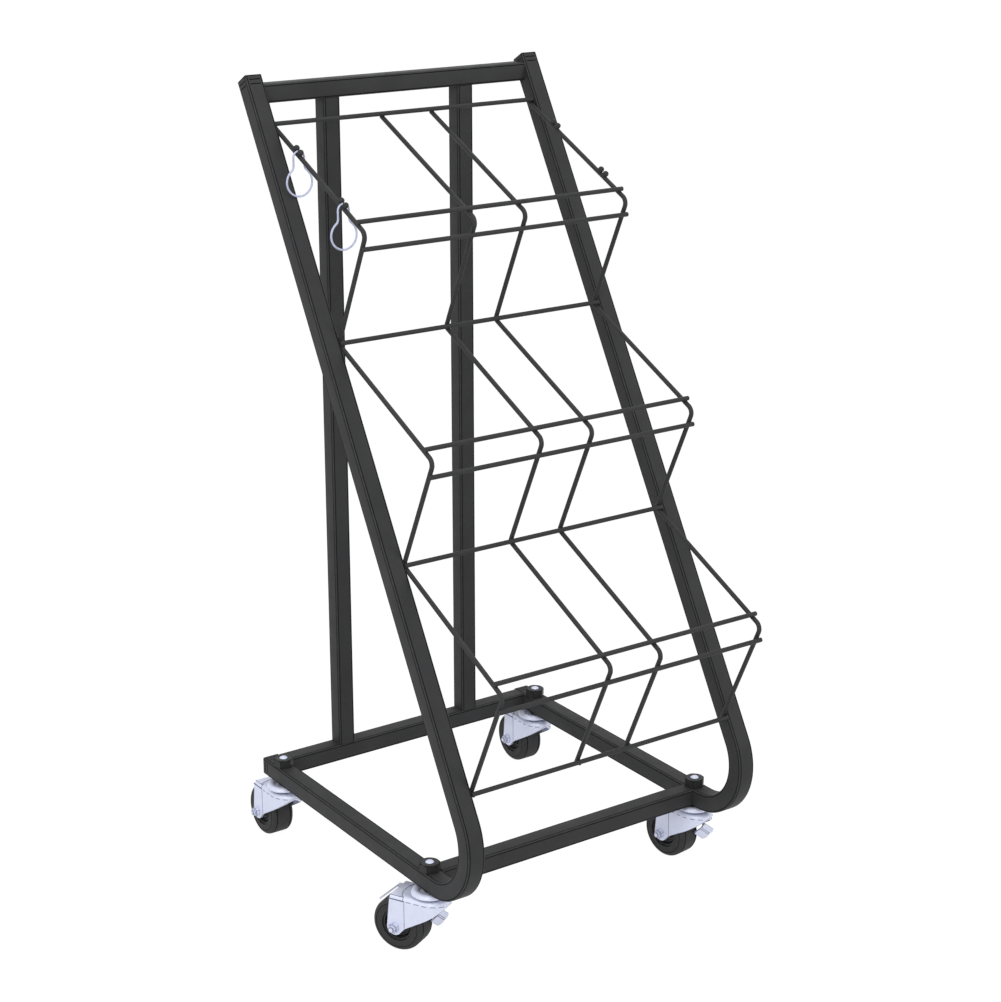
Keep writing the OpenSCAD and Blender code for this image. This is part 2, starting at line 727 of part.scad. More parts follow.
module pedal_outline() {
  top = pedal_up * cos(pedal_up_tilt);
  bottom = -pedal_down * cos(pedal_down_tilt) - lever_t * sin(pedal_down_tilt);
  corners = [
    [pedal_len - pedal_round, top - pedal_round], [pedal_round, top - pedal_round],
    [pedal_round, bottom + pedal_round], [pedal_len - pedal_round, bottom + pedal_round]
  ];
  polygon([
    for (q = [0 : 3], i = [0 : corner_steps]) let (a = 90 * q + 90 * i / corner_steps)
      corners[q] + pedal_round * [cos(a), sin(a)]
  ]);
}

module lever_pedal() translate(pedal_root) rotate([0, pedal_slope, 0]) rotate([90, 0, 0])
  intersection() {
    rotate([90, 0, 90]) linear_extrude(pedal_len) pedal_section();
    translate([0, 0, -pedal_down]) linear_extrude(pedal_up + pedal_down) pedal_outline();
  }

module brake_lever(c) color(zinc) at_stem(c) difference() {
  union() {
    lever_ear();
    lever_tongue();
    lever_pedal();
  }
  translate([lever_outer - lever_t - cut_over, pivot_e, pivot_z]) rotate([0, 90, 0])
    cylinder(h = lever_t + 2 * cut_over, r = pivot_r + running_gap);
}

module brake_rivet(c) color(zinc) at_stem(c) translate([0, pivot_e, pivot_z]) rotate([0, 90, 0]) {
  inner = lever_outer - lever_t - face_gap - rivet_head_h;
  translate([0, 0, inner]) cylinder(h = fork_half_w - inner + rivet_head_h, r = pivot_r);
  translate([0, 0, inner]) cylinder(h = rivet_head_h, r = rivet_head_r);
  translate([0, 0, lever_outer + face_gap])
    cylinder(h = fork_inner - lever_outer - face_gap, r = rivet_head_r);
  translate([0, 0, fork_half_w]) cylinder(h = rivet_head_h, r = rivet_head_r);
}

side_tube(-side_x);  // side_tube_left
side_tube(side_x);  // side_tube_right
top_crossbar();
rear_post(-post_gap / 2);  // rear_post_left
rear_post(post_gap / 2);  // rear_post_right
base_rail(post_y);  // rear_base_rail
base_rail(-stem_y);  // front_base_rail
top_plug(-side_x);  // plug_top_left
top_plug(side_x);  // plug_top_right
rear_plug(-side_x);  // plug_rear_left
rear_plug(side_x);  // plug_rear_right
zigzag_wire(wire_xs[0]);  // zigzag_wire_1
zigzag_wire(wire_xs[1]);  // zigzag_wire_2
zigzag_wire(wire_xs[2]);  // zigzag_wire_3
zigzag_wire(wire_xs[3]);  // zigzag_wire_4
top_wire();  // cross_wire_top
back_wire(1);  // cross_wire_back_1
back_wire(2);  // cross_wire_back_2
back_wire(3);  // cross_wire_back_3
shelf_wire(0);  // cross_wire_shelf_1
shelf_wire(1);  // cross_wire_shelf_2
shelf_wire(2);  // cross_wire_shelf_3
front_wire(0);  // cross_wire_front_1
front_wire(1);  // cross_wire_front_2
front_wire(2);  // cross_wire_front_3
ring_pegs(-outer_wire_x);  // ring_pegs_left
ring_pegs(outer_wire_x);  // ring_pegs_right
hanging_ring(ring_place_shares[0], upper_ring_lean);  // hanging_ring_upper
hanging_ring(ring_place_shares[1], 0);  // hanging_ring_lower
stem_nuts();
stem_collars();
caster_stems();
swivel_balls();
race_cup(front_left);  // race_cup_fl
race_cup(front_right);  // race_cup_fr
race_cup(rear_left);  // race_cup_rl
race_cup(rear_right);  // race_cup_rr
fork(front_left, true);  // fork_fl
fork(front_right, true);  // fork_fr
fork(rear_left, false);  // fork_rl
fork(rear_right, false);  // fork_rr
axle_bolt(front_left);  // axle_bolt_fl
axle_bolt(front_right);  // axle_bolt_fr
axle_bolt(rear_left);  // axle_bolt_rl
axle_bolt(rear_right);  // axle_bolt_rr
tyre(front_left);  // tyre_fl
tyre(front_right);  // tyre_fr
tyre(rear_left);  // tyre_rl
tyre(rear_right);  // tyre_rr
wheel_hub(front_left);  // wheel_hub_fl
wheel_hub(front_right);  // wheel_hub_fr
wheel_hub(rear_left);  // wheel_hub_rl
wheel_hub(rear_right);  // wheel_hub_rr
brake_lever(front_left);  // brake_lever_fl
brake_lever(front_right);  // brake_lever_fr
brake_rivet(front_left);  // brake_rivet_fl
brake_rivet(front_right);  // brake_rivet_fr
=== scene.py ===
# %% [markdown]
# # A periodical display rack on four casters
# The rack is a leaning frame of square steel tube with three tiers of bent wire.
# It stands on four swivel casters. This file dresses the solids of the
# construction model: it sets the camera, the light and the studio, makes the
# finishes, and then goes through the rack piece by piece.
#
# The solids arrive in metres and in their final place. Turned and pressed pieces
# keep their shape and get a smooth skin. Tubes, wires, rings and balls follow a
# rule, so small node trees grow them again with finer faces and with the marks
# that the rolls and the welder leave. The roll marks are painted near black as shade.

# %% Load the solids
import json
import math

import bmesh
import bpy
from mathutils import Matrix, Vector


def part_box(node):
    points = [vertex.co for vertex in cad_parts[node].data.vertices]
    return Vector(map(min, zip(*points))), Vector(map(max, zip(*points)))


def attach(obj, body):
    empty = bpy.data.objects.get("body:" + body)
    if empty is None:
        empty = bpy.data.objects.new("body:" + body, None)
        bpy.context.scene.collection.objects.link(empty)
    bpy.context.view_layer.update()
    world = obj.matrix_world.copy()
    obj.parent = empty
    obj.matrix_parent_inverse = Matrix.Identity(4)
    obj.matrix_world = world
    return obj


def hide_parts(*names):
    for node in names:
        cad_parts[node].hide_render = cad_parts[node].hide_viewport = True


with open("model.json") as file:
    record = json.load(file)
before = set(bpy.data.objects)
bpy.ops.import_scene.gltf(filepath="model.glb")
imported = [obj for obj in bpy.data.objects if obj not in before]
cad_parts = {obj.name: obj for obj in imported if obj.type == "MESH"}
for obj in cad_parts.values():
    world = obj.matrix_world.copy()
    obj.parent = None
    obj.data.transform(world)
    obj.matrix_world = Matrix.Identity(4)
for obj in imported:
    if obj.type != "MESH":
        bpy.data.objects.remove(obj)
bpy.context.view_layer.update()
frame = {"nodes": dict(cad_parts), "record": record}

nodes = frame["nodes"]
slot_of = {p["node"]: p["material_slot"] for p in frame["record"]["subparts"]}
body_of = {n: b for b, members in frame["record"]["behaviour"]["bodies"].items() for n in members}
frame_body = body_of["side_tube_left"]

# %% [markdown]
# ## Millimetres
# Every size in this file is written in millimetres, as on a drawing. One short
# function turns them to metres.

# %% Sizes in millimetres
def mm(*values):
    """Millimetres to metres: one number, or a vector of three."""
    return values[0] / 1000 if len(values) == 1 else Vector(values) / 1000


# %% [markdown]
# ## The camera
# The photograph was taken from the front left with a long lens, a little above
# the top shelf. The camera's place, its turn and its focal length come from the
# straight lines of the frame: eight tube edges and the four stems fix them. A
# small shift puts the lens axis where it was before the picture was cropped.

# %% Camera
PHOTO_SIZE = (1001, 1002)
FOCAL_PX = 2187.0
AXIS_PX = (514.55, 456.10)
CAMERA_PLACE = (-1618.03, -2389.80, 1486.88)
camera_turn, camera_tilt = -0.608966, 0.297284

camera_data = bpy.data.cameras.new("studio_camera")
camera_data.sensor_width = 36.0
camera_data.lens = FOCAL_PX * camera_data.sensor_width / max(PHOTO_SIZE)
camera_data.shift_x = (PHOTO_SIZE[0] / 2 - AXIS_PX[0]) / max(PHOTO_SIZE)
camera_data.shift_y = (AXIS_PX[1] - PHOTO_SIZE[1] / 2) / max(PHOTO_SIZE)
camera_data.clip_end = 50
back = Vector((
    math.sin(camera_turn) * math.cos(camera_tilt),
    -math.cos(camera_turn) * math.cos(camera_tilt),
    math.sin(camera_tilt),
))
right = Vector((0, 0, 1)).cross(back).normalized()
up = back.cross(right)
camera = bpy.data.objects.new("studio_camera", camera_data)
camera_axes = Matrix((right, up, back)).transposed().to_4x4()
camera.matrix_world = Matrix.Translation(mm(*CAMERA_PLACE)) @ camera_axes
bpy.context.scene.collection.objects.link(camera)
bpy.context.scene.camera = camera
print("lens", round(camera_data.lens, 2), "mm, shift", round(camera_data.shift_x, 4),
      round(camera_data.shift_y, 4))

# %% [markdown]
# ## A helper for nodes
# A material and a geometry tree are both small graphs. One function adds a node
# to either, sets its fields and its unlinked sockets, and joins its linked ones,
# so that each graph below reads from top to bottom.

# %% Colours and nodes
def linear(hex_colour):
    """An sRGB hex colour as the linear values that shaders take."""
    channels = [int(hex_colour[i:i + 2], 16) / 255 for i in (1, 3, 5)]
    return [c / 12.92 if c <= 0.04045 else ((c + 0.055) / 1.055) ** 2.4 for c in channels] + [1.0]


def add(tree, kind, fields=None, **sockets):
    """Adds a node. fields sets its options, sockets sets or links its inputs by name or index."""
    node = tree.nodes.new(kind)
    for key, value in (fields or {}).items():
        setattr(node, key, value)
    for key, value in sockets.items():
        name = key.replace("_", " ")
        socket = node.inputs[int(name[2:])] if name.startswith("i ") else node.inputs[name]
        if isinstance(value, bpy.types.NodeSocket):
            tree.links.new(value, socket)
        else:
            socket.default_value = value
    return node


def calc(tree, operation, *values):
    """One step of arithmetic on numbers or sockets; gives the result's socket."""
    node = add(tree, "ShaderNodeMath", {"operation": operation},
               **{f"i_{k}": v for k, v in enumerate(values)})
    return node.outputs[0]


def new_material(name):
    """An empty material with its tree."""
    material = bpy.data.materials.new(name)
    material.use_nodes = True
    material.node_tree.nodes.clear()
    return material, material.node_tree


# %% [markdown]
# ## The studio
# The floor and the wall are one white sheet in the photograph. The world is
# white where the camera or a shiny surface looks at it, and a soft grey dome
# where it lights the rack. The floor adds a little scattered light to the same
# white, so that only the contact shadow of the wheels is left on it.

# %% World and floor
FLOOR_WHITE, FLOOR_LIFT = 0.90, 0.07
scene = bpy.context.scene
scene.view_settings.view_transform = "Standard"


def looked_at(tree):
    """1 where the camera or a mirror ray looks, 0 where light is gathered."""
    path = add(tree, "ShaderNodeLightPath")
    shiny = calc(tree, "MAXIMUM", path.outputs["Is Glossy Ray"],
                 path.outputs["Is Transmission Ray"])
    return calc(tree, "MAXIMUM", path.outputs["Is Camera Ray"], shiny)


world = bpy.data.worlds.new("studio_world")
world.use_nodes = True
tree = world.node_tree
tree.nodes.clear()
dome = add(tree, "ShaderNodeBackground", Color=linear("#f4f6ff"), Strength=0.55)
paper = add(tree, "ShaderNodeBackground", Color=linear("#ffffff"), Strength=1.0)
mixed = add(tree, "ShaderNodeMixShader", i_0=looked_at(tree), i_1=dome.outputs[0],
            i_2=paper.outputs[0])
add(tree, "ShaderNodeOutputWorld", Surface=mixed.outputs[0])
scene.world = world

paper_floor, tree = new_material("white_studio_floor")
sheet = add(tree, "ShaderNodeBsdfDiffuse", Color=linear("#f0f0f0"))
glow = add(tree, "ShaderNodeEmission", Color=linear("#ffffff"), Strength=1.0)
share = calc(tree, "MULTIPLY", looked_at(tree), FLOOR_WHITE)
both = add(tree, "ShaderNodeMixShader", i_0=share, i_1=sheet.outputs[0], i_2=glow.outputs[0])
faint = add(tree, "ShaderNodeEmission", Color=linear("#ffffff"),
            Strength=calc(tree, "MULTIPLY", looked_at(tree), FLOOR_LIFT))
whole = add(tree, "ShaderNodeAddShader", i_0=both.outputs[0], i_1=faint.outputs[0])
add(tree, "ShaderNodeOutputMaterial", Surface=whole.outputs[0])

floor_mesh = bpy.data.meshes.new("studio_floor")
floor_half = mm(9000)
floor_mesh.from_pydata(
    [(-floor_half, -floor_half, 0), (floor_half, -floor_half, 0),
     (floor_half, floor_half, 0), (-floor_half, floor_half, 0)], [], [(0, 1, 2, 3)])
floor_mesh.materials.append(paper_floor)
floor = bpy.data.objects.new("studio_floor", floor_mesh)
scene.collection.objects.link(floor)

# %% [markdown]
# ## The lamps
# Product photographs of dark tube are lit by large soft boxes, so that each
# face of the tube gets one even tone. The box on the left lights the side faces,
# the one above lights the tops, and a weaker one fills from the right.

# %% Lamps
def soft_box(name, place, target, width, height, power, colour="#ffffff"):
    """A large area lamp at a place, turned towards a target, in millimetres."""
    lamp = bpy.data.lights.new(name, "AREA")
    lamp.shape = "RECTANGLE"
    lamp.size, lamp.size_y = mm(width), mm(height)
    lamp.energy = power
    lamp.color = linear(colour)[:3]
    holder = bpy.data.objects.new(name, lamp)
    aim = (mm(*target) - mm(*place)).to_track_quat("-Z", "Y")
    holder.matrix_world = Matrix.Translation(mm(*place)) @ aim.to_matrix().to_4x4()
    scene.collection.objects.link(holder)
    return holder


soft_box("box_front_left", (-2600, -1500, 2200), (0, -50, 500), 1800, 1800, 36)
soft_box("box_above", (200, -300, 3400), (0, 0, 500), 2600, 2600, 22)
soft_box("box_front_right", (1700, -2700, 1500), (0, -50, 500), 1500, 1800, 16)

# %% [markdown]
# ## Finish: satin black powder coat
# The frame and the wires are sprayed with dry paint powder and baked. The
# molten powder levels out, but never fully: it leaves a fine orange peel about
# a millimetre across. To the eye this is a black with a broad soft sheen, and
# the peel breaks up its edge. Noise makes the peel as bump, and a second, larger
# noise changes the gloss a little, as a bake does. Small pale scuffs, a few
# millimetres long, are the wear of a rack that is wheeled about.

# %% Patterns shared by the finishes
def peel(tree, place, spacing_mm, height_mm, strength, below=None):
    """Fine uneven surface: noise of a real spacing as a bump of a real height."""
    grain = add(tree, "ShaderNodeTexNoise", Vector=place, Scale=1000 / spacing_mm, Detail=2.0)
    bump = add(tree, "ShaderNodeBump", Height=grain.outputs["Fac"], Strength=strength,
               Distance=mm(height_mm))
    if below is not None:
        tree.links.new(below, bump.inputs["Normal"])
    return bump.outputs["Normal"]


def cloud(tree, place, spacing_mm, low=0.0, high=1.0, cut=(0.3, 0.7)):
    """A slow change between two numbers over a real spacing."""
    noise = add(tree, "ShaderNodeTexNoise", Vector=place, Scale=1000 / spacing_mm, Detail=3.0)
    return add(tree, "ShaderNodeMapRange", Value=noise.outputs["Fac"], From_Min=cut[0],
               From_Max=cut[1], To_Min=low, To_Max=high).outputs["Result"]


def blend(tree, share, first, second):
    """A mix of two colours, each a hex value or a socket."""
    ends = [linear(c) if isinstance(c, str) else c for c in (first, second)]
    return add(tree, "ShaderNodeMix", {"data_type": "RGBA"}, i_0=share, i_6=ends[0],
               i_7=ends[1]).outputs[2]


def line_at(tree, value, place_mm, half_mm, soft_mm=0.15):
    """1 on a line where value is place_mm, 0 away from it; value is in millimetres."""
    away = calc(tree, "ABSOLUTE", calc(tree, "SUBTRACT", value, place_mm))
    return add(tree, "ShaderNodeMapRange", Value=away, From_Min=half_mm, From_Max=half_mm + soft_mm,
               To_Min=1.0, To_Max=0.0).outputs["Result"]


# %% [markdown]
# ## Marks on a square tube
# A tube mill rolls a round tube square. Where each flat runs into its corner the
# rolls leave a faint line. It is finer than the picture can show, so it is drawn
# a millimetre wide. Near the plugged ends two shallow crimps across each flat
# hold the plug's shank. Both are dented a little by bump and painted near black
# as shade.
#
# Both marks follow the tube round its bend, so they can't come from a pattern in
# space. The trees below leave two attributes on the mesh: where a point lies in
# the tube's section, and how far it is from the two ends. The shader draws the
# marks from these.

# %% Powder coat, on wire and on tube
FLAT_HALF, LINE_HALF = 10.3, 0.55
RIDGE_FROM = 11.4
CRIMP_HALF, CRIMP_LINE_HALF = 7.9, 0.7
CRIMP_PLACES = (5.0, 11.4)
# Near black is the painted shade of the roll lines and crimps; pale grey is scuffs and worn
# corners.
SHADE_LINE_BLACK, SCUFF_GREY = "#030303", "#565655"


def powder_coat_finish(name, marks=False, crimps=False):
    """Satin black powder coat, with a tube's marks in painted shade where it is asked for."""
    material, tree = new_material(name)
    here = add(tree, "ShaderNodeTexCoord").outputs["Object"]
    base = blend(tree, cloud(tree, here, 60), "#343434", "#393939")
    scuff = calc(tree, "MULTIPLY", cloud(tree, here, 3.0, cut=(0.66, 0.74)),
                 cloud(tree, here, 40, cut=(0.52, 0.62)))
    base = blend(tree, calc(tree, "MULTIPLY", scuff, 0.5), base, SCUFF_GREY)
    rough = cloud(tree, here, 25, 0.54, 0.64)
    dent = None
    if marks:
        section = add(tree, "ShaderNodeAttribute", {"attribute_name": "section"})
        parts = add(tree, "ShaderNodeSeparateXYZ", Vector=section.outputs["Vector"])
        sides = [calc(tree, "MULTIPLY", calc(tree, "ABSOLUTE", parts.outputs[k]), 1000.0)
                 for k in (0, 1)]
        nearer = calc(tree, "MINIMUM", *sides)
        ridge = calc(tree, "MULTIPLY", cloud(tree, here, 5, cut=(0.5, 0.66)),
                     calc(tree, "GREATER_THAN", nearer, RIDGE_FROM))
        base = blend(tree, calc(tree, "MULTIPLY", ridge, 0.3), base, SCUFF_GREY)
        # The roll line and the crimp dashes are painted near black as shade, over a small dent of
        # bump.
        shaded_line_mask = calc(tree, "MULTIPLY", line_at(tree, nearer, FLAT_HALF, LINE_HALF), 0.95)
        if crimps:
            run = add(tree, "ShaderNodeAttribute", {"attribute_name": "run"})
            ends = add(tree, "ShaderNodeSeparateXYZ", Vector=run.outputs["Vector"])
            near_end = calc(tree, "MINIMUM", ends.outputs[0], ends.outputs[1])
            near_end = calc(tree, "MULTIPLY", near_end, 1000.0)
            rows = calc(tree, "MAXIMUM", *[line_at(tree, near_end, p, CRIMP_LINE_HALF)
                                           for p in CRIMP_PLACES])
            shaded_crimp_mask = calc(tree, "MULTIPLY", rows, calc(tree, "LESS_THAN", nearer, CRIMP_HALF))
            shaded_line_mask = calc(tree, "MAXIMUM", shaded_line_mask, shaded_crimp_mask)
        base = blend(tree, shaded_line_mask, base, SHADE_LINE_BLACK)
        rough = calc(tree, "ADD", rough, calc(tree, "MULTIPLY", shaded_line_mask, 0.4))
        dent = add(tree, "ShaderNodeBump", Height=calc(tree, "SUBTRACT", 1.0, shaded_line_mask), Strength=0.4,
                   Distance=mm(0.3)).outputs["Normal"]
    coat = add(tree, "ShaderNodeBsdfPrincipled", Base_Color=base, Roughness=rough,
               Specular_IOR_Level=0.2, Normal=peel(tree, here, 1.1, 0.05, 0.4, below=dent))
    add(tree, "ShaderNodeOutputMaterial", Surface=coat.outputs[0])
    return material


powder_coat = powder_coat_finish("satin_black_powder_coat")
powder_with_line_shade = powder_coat_finish("satin_black_powder_coat_painted_line_shade", marks=True)
powder_with_line_and_crimp_shade = powder_coat_finish("satin_black_powder_coat_painted_line_and_crimp_shade", marks=True,
                                            crimps=True)
print("powder coat:", powder_coat.name, powder_with_line_shade.name, powder_with_line_and_crimp_shade.name)

# %% [markdown]
# ## Finish: blue-white zinc plate
# The casters and the rings are plated with zinc and passivated, which leaves a
# thin clear film with a cool blue cast. The plating is fine-grained and dull
# more than bright, so it scatters as much as it mirrors. Slow clouds of bluer
# and greyer metal are the film's uneven thickness. Two darker versions of the
# same finish are painted shade: one draws the press lines, folds and broken
# edges dark, the other darkens the balls in the gap under each cup.

# %% Zinc plate
def zinc_finish(name, dark, light, rough_low, rough_high):
    """Passivated zinc plate between two tones."""
    material, tree = new_material(name)
    here = add(tree, "ShaderNodeTexCoord").outputs["Object"]
    tone = blend(tree, cloud(tree, here, 14), dark, light)
    handled = calc(tree, "MULTIPLY", cloud(tree, here, 5, cut=(0.58, 0.70)), 0.12)
    plate = add(tree, "ShaderNodeBsdfPrincipled", Metallic=0.35,
                Base_Color=blend(tree, handled, tone, "#b9bed0"),
                Roughness=cloud(tree, here, 6, rough_low, rough_high),
                Normal=peel(tree, here, 0.9, 0.02, 0.3))
    add(tree, "ShaderNodeOutputMaterial", Surface=plate.outputs[0])
    return material


bright_zinc = zinc_finish("blue_white_zinc_plate", "#e3e7f9", "#e8ecfd", 0.50, 0.60)
zinc_on_wire = zinc_finish("blue_white_zinc_plate_on_wire", "#bec3da", "#c6cbe2", 0.50, 0.60)
# A darker zinc painted as shade, for the press lines, the folds and the broken edges.
zinc_line_shade = zinc_finish("zinc_plate_painted_line_shade", "#5a5f74", "#666b80", 0.60, 0.70)
# A darker zinc painted as the shade of the gap under each cup, for the bearing balls.
zinc_gap_shade = zinc_finish("zinc_plate_painted_gap_shade", "#767b92", "#868ba2", 0.36, 0.46)

# %% [markdown]
# ## Finish: black steel, plastic and rubber
# The nuts are blackened steel with an oily satin look. The end plugs are
# moulded polyethylene with a fine spark-eroded texture. The treads are black
# rubber, the dullest of all, with a bloom of grey dust, and the hubs are nylon.

# %% Black steel and plastics
def dark_finish(name, tones, tone_mm, rough, rough_mm, grain_mm, grain_height_mm, dust=None,
                shine=0.25):
    """A dark moulded or blackened surface: two tones, a range of roughness and a grain."""
    material, tree = new_material(name)
    here = add(tree, "ShaderNodeTexCoord").outputs["Object"]
    tone = blend(tree, cloud(tree, here, tone_mm), *tones)
    if dust:
        bloom = calc(tree, "MULTIPLY", cloud(tree, here, 4, cut=(0.5, 0.75)), 0.5)
        tone = blend(tree, bloom, tone, dust)
    shell = add(tree, "ShaderNodeBsdfPrincipled", Base_Color=tone, Specular_IOR_Level=shine,
                Roughness=cloud(tree, here, rough_mm, *rough),
                Normal=peel(tree, here, grain_mm, grain_height_mm, 0.4))
    add(tree, "ShaderNodeOutputMaterial", Surface=shell.outputs[0])
    return material


finishes = {
    "powder_coat": powder_coat,
    "bright_zinc": bright_zinc,
    "black_steel": dark_finish("blackened_steel", ("#2a2a2a", "#303030"), 9, (0.42, 0.52), 5,
                               0.7, 0.03),
    "plug_plastic": dark_finish("moulded_polyethylene", ("#141414", "#191919"), 12, (0.55, 0.65), 8,
                                0.5, 0.03, shine=0.1),
    "tread_rubber": dark_finish("black_tread_rubber", ("#353535", "#3a3a3a"), 18, (0.62, 0.76), 7,
                                0.8, 0.06, dust="#434342"),
    "hub_plastic": dark_finish("moulded_nylon", ("#404040", "#464646"), 14, (0.46, 0.56), 9,
                               0.7, 0.04),
}
# A near black painted as shade, for the broken edges of the dark parts and the rings on the treads.
black_line_shade = dark_finish("black_painted_line_shade", ("#030303", "#060606"), 9, (0.7, 0.8), 5,
                             0.7, 0.03, shine=0.1)
print("finishes:", {s: sum(v == s for v in slot_of.values()) for s in finishes})

# %% [markdown]
# ## Dress the solids
# Each solid knows its material slot from the record. The slot's finish goes
# onto the solid here; the pieces made below are given theirs where they are made.

# %% Give every solid its finish
for name, solid in nodes.items():
    solid.data.materials.clear()
    solid.data.materials.append(finishes[slot_of[name]])

# %% [markdown]
# ## Growing pieces with geometry nodes
# A tree is a recipe with named inputs. To use one, a piece starts as a bare
# mesh, such as the centre line of a wire, and a modifier runs the recipe on it.
# The result is turned to a plain mesh, and the modifier goes, because the rack
# has to keep its shape wherever it is used.

# %% Recipe helpers
def recipe(name, **inputs):
    """A geometry tree with named inputs; gives the tree, its inputs by name, and its last node."""
    tree = bpy.data.node_groups.new(name, "GeometryNodeTree")
    tree.interface.new_socket("Geometry", in_out="INPUT", socket_type="NodeSocketGeometry")
    for label, kind in inputs.items():
        tree.interface.new_socket(label.replace("_", " "), in_out="INPUT",
                                  socket_type="NodeSocket" + kind)
    tree.interface.new_socket("Geometry", in_out="OUTPUT", socket_type="NodeSocketGeometry")
    start = tree.nodes.new("NodeGroupInput").outputs
    end = tree.nodes.new("NodeGroupOutput")
    return tree, start, end


def close_recipe(tree, start, end, shape):
    """The last two steps of every recipe: real geometry, and its finish."""
    real = add(tree, "GeometryNodeRealizeInstances", Geometry=shape)
    dressed = add(tree, "GeometryNodeSetMaterial", Geometry=real.outputs[0],
                  Material=start["Finish"])
    tree.links.new(dressed.outputs[0], end.inputs[0])


def plain_mesh(piece):
    """The mesh that a piece's modifiers give, with the modifiers gone."""
    shaped = bpy.data.meshes.new_from_object(
        piece.evaluated_get(bpy.context.evaluated_depsgraph_get()))
    piece.modifiers.clear()
    piece.data = shaped
    return shaped


def grow(name, tree, body, points, edges, sharp_degrees=35, soften_mm=0.0, stands_for=(),
         slot=None, **inputs):
    """Runs a recipe on a bare mesh of points and edges, and keeps the result as a piece."""
    bare = bpy.data.meshes.new(name)
    bare.from_pydata([tuple(p) for p in points], edges, [])
    piece = bpy.data.objects.new(name, bare)
    scene.collection.objects.link(piece)
    run = piece.modifiers.new("recipe", "NODES")
    run.node_group = tree
    named = {item.name: item.identifier for item in tree.interface.items_tree
             if item.in_out == "INPUT"}
    for label, value in inputs.items():
        run[named[label.replace("_", " ")]] = value
    if soften_mm:
        soft = piece.modifiers.new("soft_edge", "BEVEL")
        soft.width, soft.segments = mm(soften_mm), 2
        soft.limit_method, soft.angle_limit = "ANGLE", math.radians(40)
    shaped = plain_mesh(piece)
    shaped.name = name
    shaped.polygons.foreach_set("use_smooth", [True] * len(shaped.polygons))
    shaped.set_sharp_from_angle(angle=math.radians(sharp_degrees))
    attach(piece, body)
    if stands_for:
        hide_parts(*stands_for)
    return piece


def chain(points):
    """Edges that join points in a row."""
    return [(k, k + 1) for k in range(len(points) - 1)]


def corner_gap_mm(piece, node):
    """How far a piece's box corners lie from its solid's, at most."""
    return round(1000 * max((Vector(piece.bound_box[i]) - Vector(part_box(node)[j])).length
                            for i, j in ((0, 0), (6, 1))), 2)


# %% [markdown]
# ## Frame lines
# The pieces repeat the named sizes of the construction model. From the side, a
# side tube is a floor run, one bend and a leaning run. The wire tiers live in
# the leaning plane: ahead of the tube, and up along it.

# %% Sizes of the frame
FRAME_W, TUBE, CORNER, LEAN, BEND_R = 475.0, 25.4, 2.4, math.radians(30), 76.2
WHEELBASE, CORNER_AHEAD, RAIL_BEHIND, CASTER_H = 393.5, 155.0, 25.0, 96.3
TOP_OVERRUN, CROSSBAR_DROP, POST_GAP = 10.9, 9.1, 218.6
side_x = FRAME_W / 2 - TUBE / 2
inner_x = FRAME_W / 2 - TUBE
stem_y = WHEELBASE / 2
corner_y = -stem_y - CORNER_AHEAD
post_y = stem_y + RAIL_BEHIND
tube_z = CASTER_H + TUBE / 2
post_run = post_y - corner_y
lean_run = post_run / math.sin(LEAN) + TOP_OVERRUN
crossbar_z = tube_z + post_run / math.tan(LEAN) - CROSSBAR_DROP


def leaning(x, ahead, along):
    """A point of the leaning plane, in metres."""
    return mm(x, corner_y + along * math.sin(LEAN) - ahead * math.cos(LEAN),
              tube_z + along * math.cos(LEAN) + ahead * math.sin(LEAN))


print("lean run", round(lean_run, 1), "crossbar height", round(crossbar_z, 1))

# %% [markdown]
# ## Square tube
# All seven tubes are one recipe: a square with round corners, swept along a
# centre line. A boolean of boxes would also give the straight ones, but not the
# bend, and it would lose the section coordinates that the finish needs. The
# sweep keeps them: they are stored on the section and on the line before the
# two are joined.

# %% Recipe of the square tube
square_tube, start, end = recipe("square_tube", Side="Float", Corner_radius="Float",
                                 Finish="Material")
line = add(square_tube, "GeometryNodeMeshToCurve", Mesh=start["Geometry"])
reached = add(square_tube, "GeometryNodeSplineParameter").outputs["Length"]
whole_length = add(square_tube, "GeometryNodeSplineLength").outputs["Length"]
ends = add(square_tube, "ShaderNodeCombineXYZ", X=reached,
           Y=calc(square_tube, "SUBTRACT", whole_length, reached))
line = add(square_tube, "GeometryNodeStoreNamedAttribute", {"data_type": "FLOAT_VECTOR"},
           Geometry=line.outputs[0], Name="run", Value=ends.outputs[0])
square = add(square_tube, "GeometryNodeCurvePrimitiveQuadrilateral", Width=start["Side"],
             Height=start["Side"])
rounded = add(square_tube, "GeometryNodeFilletCurve", {"mode": "POLY"}, Curve=square.outputs[0],
              Radius=start["Corner radius"], Count=6)
section = add(square_tube, "GeometryNodeStoreNamedAttribute", {"data_type": "FLOAT_VECTOR"},
              Geometry=rounded.outputs[0], Name="section",
              Value=add(square_tube, "GeometryNodeInputPosition").outputs[0])
swept = add(square_tube, "GeometryNodeCurveToMesh", Curve=line.outputs[0],
            Profile_Curve=section.outputs[0], Fill_Caps=True)
close_recipe(square_tube, start, end, swept.outputs[0])

# %% [markdown]
# ## Side tubes
# Each side tube is one length with one bend, drawn round a former. The bend is
# laid out in steps of 2.5 degrees, fine enough to look round at any size.

# %% Side tubes
BEND_STEPS = 48
bend_tangent = BEND_R * math.tan((math.pi / 2 + LEAN) / 2)


def side_line(x):
    """Centre line of a side tube, from its rear end to its top end."""
    centre = (corner_y + bend_tangent, tube_z + BEND_R)
    turn = math.pi / 2 + LEAN
    bend = [mm(x, centre[0] - BEND_R * math.sin(turn * k / BEND_STEPS),
               centre[1] - BEND_R * math.cos(turn * k / BEND_STEPS)) for k in range(BEND_STEPS + 1)]
    return [mm(x, post_y + TUBE / 2, tube_z)] + bend + [leaning(x, 0, lean_run)]


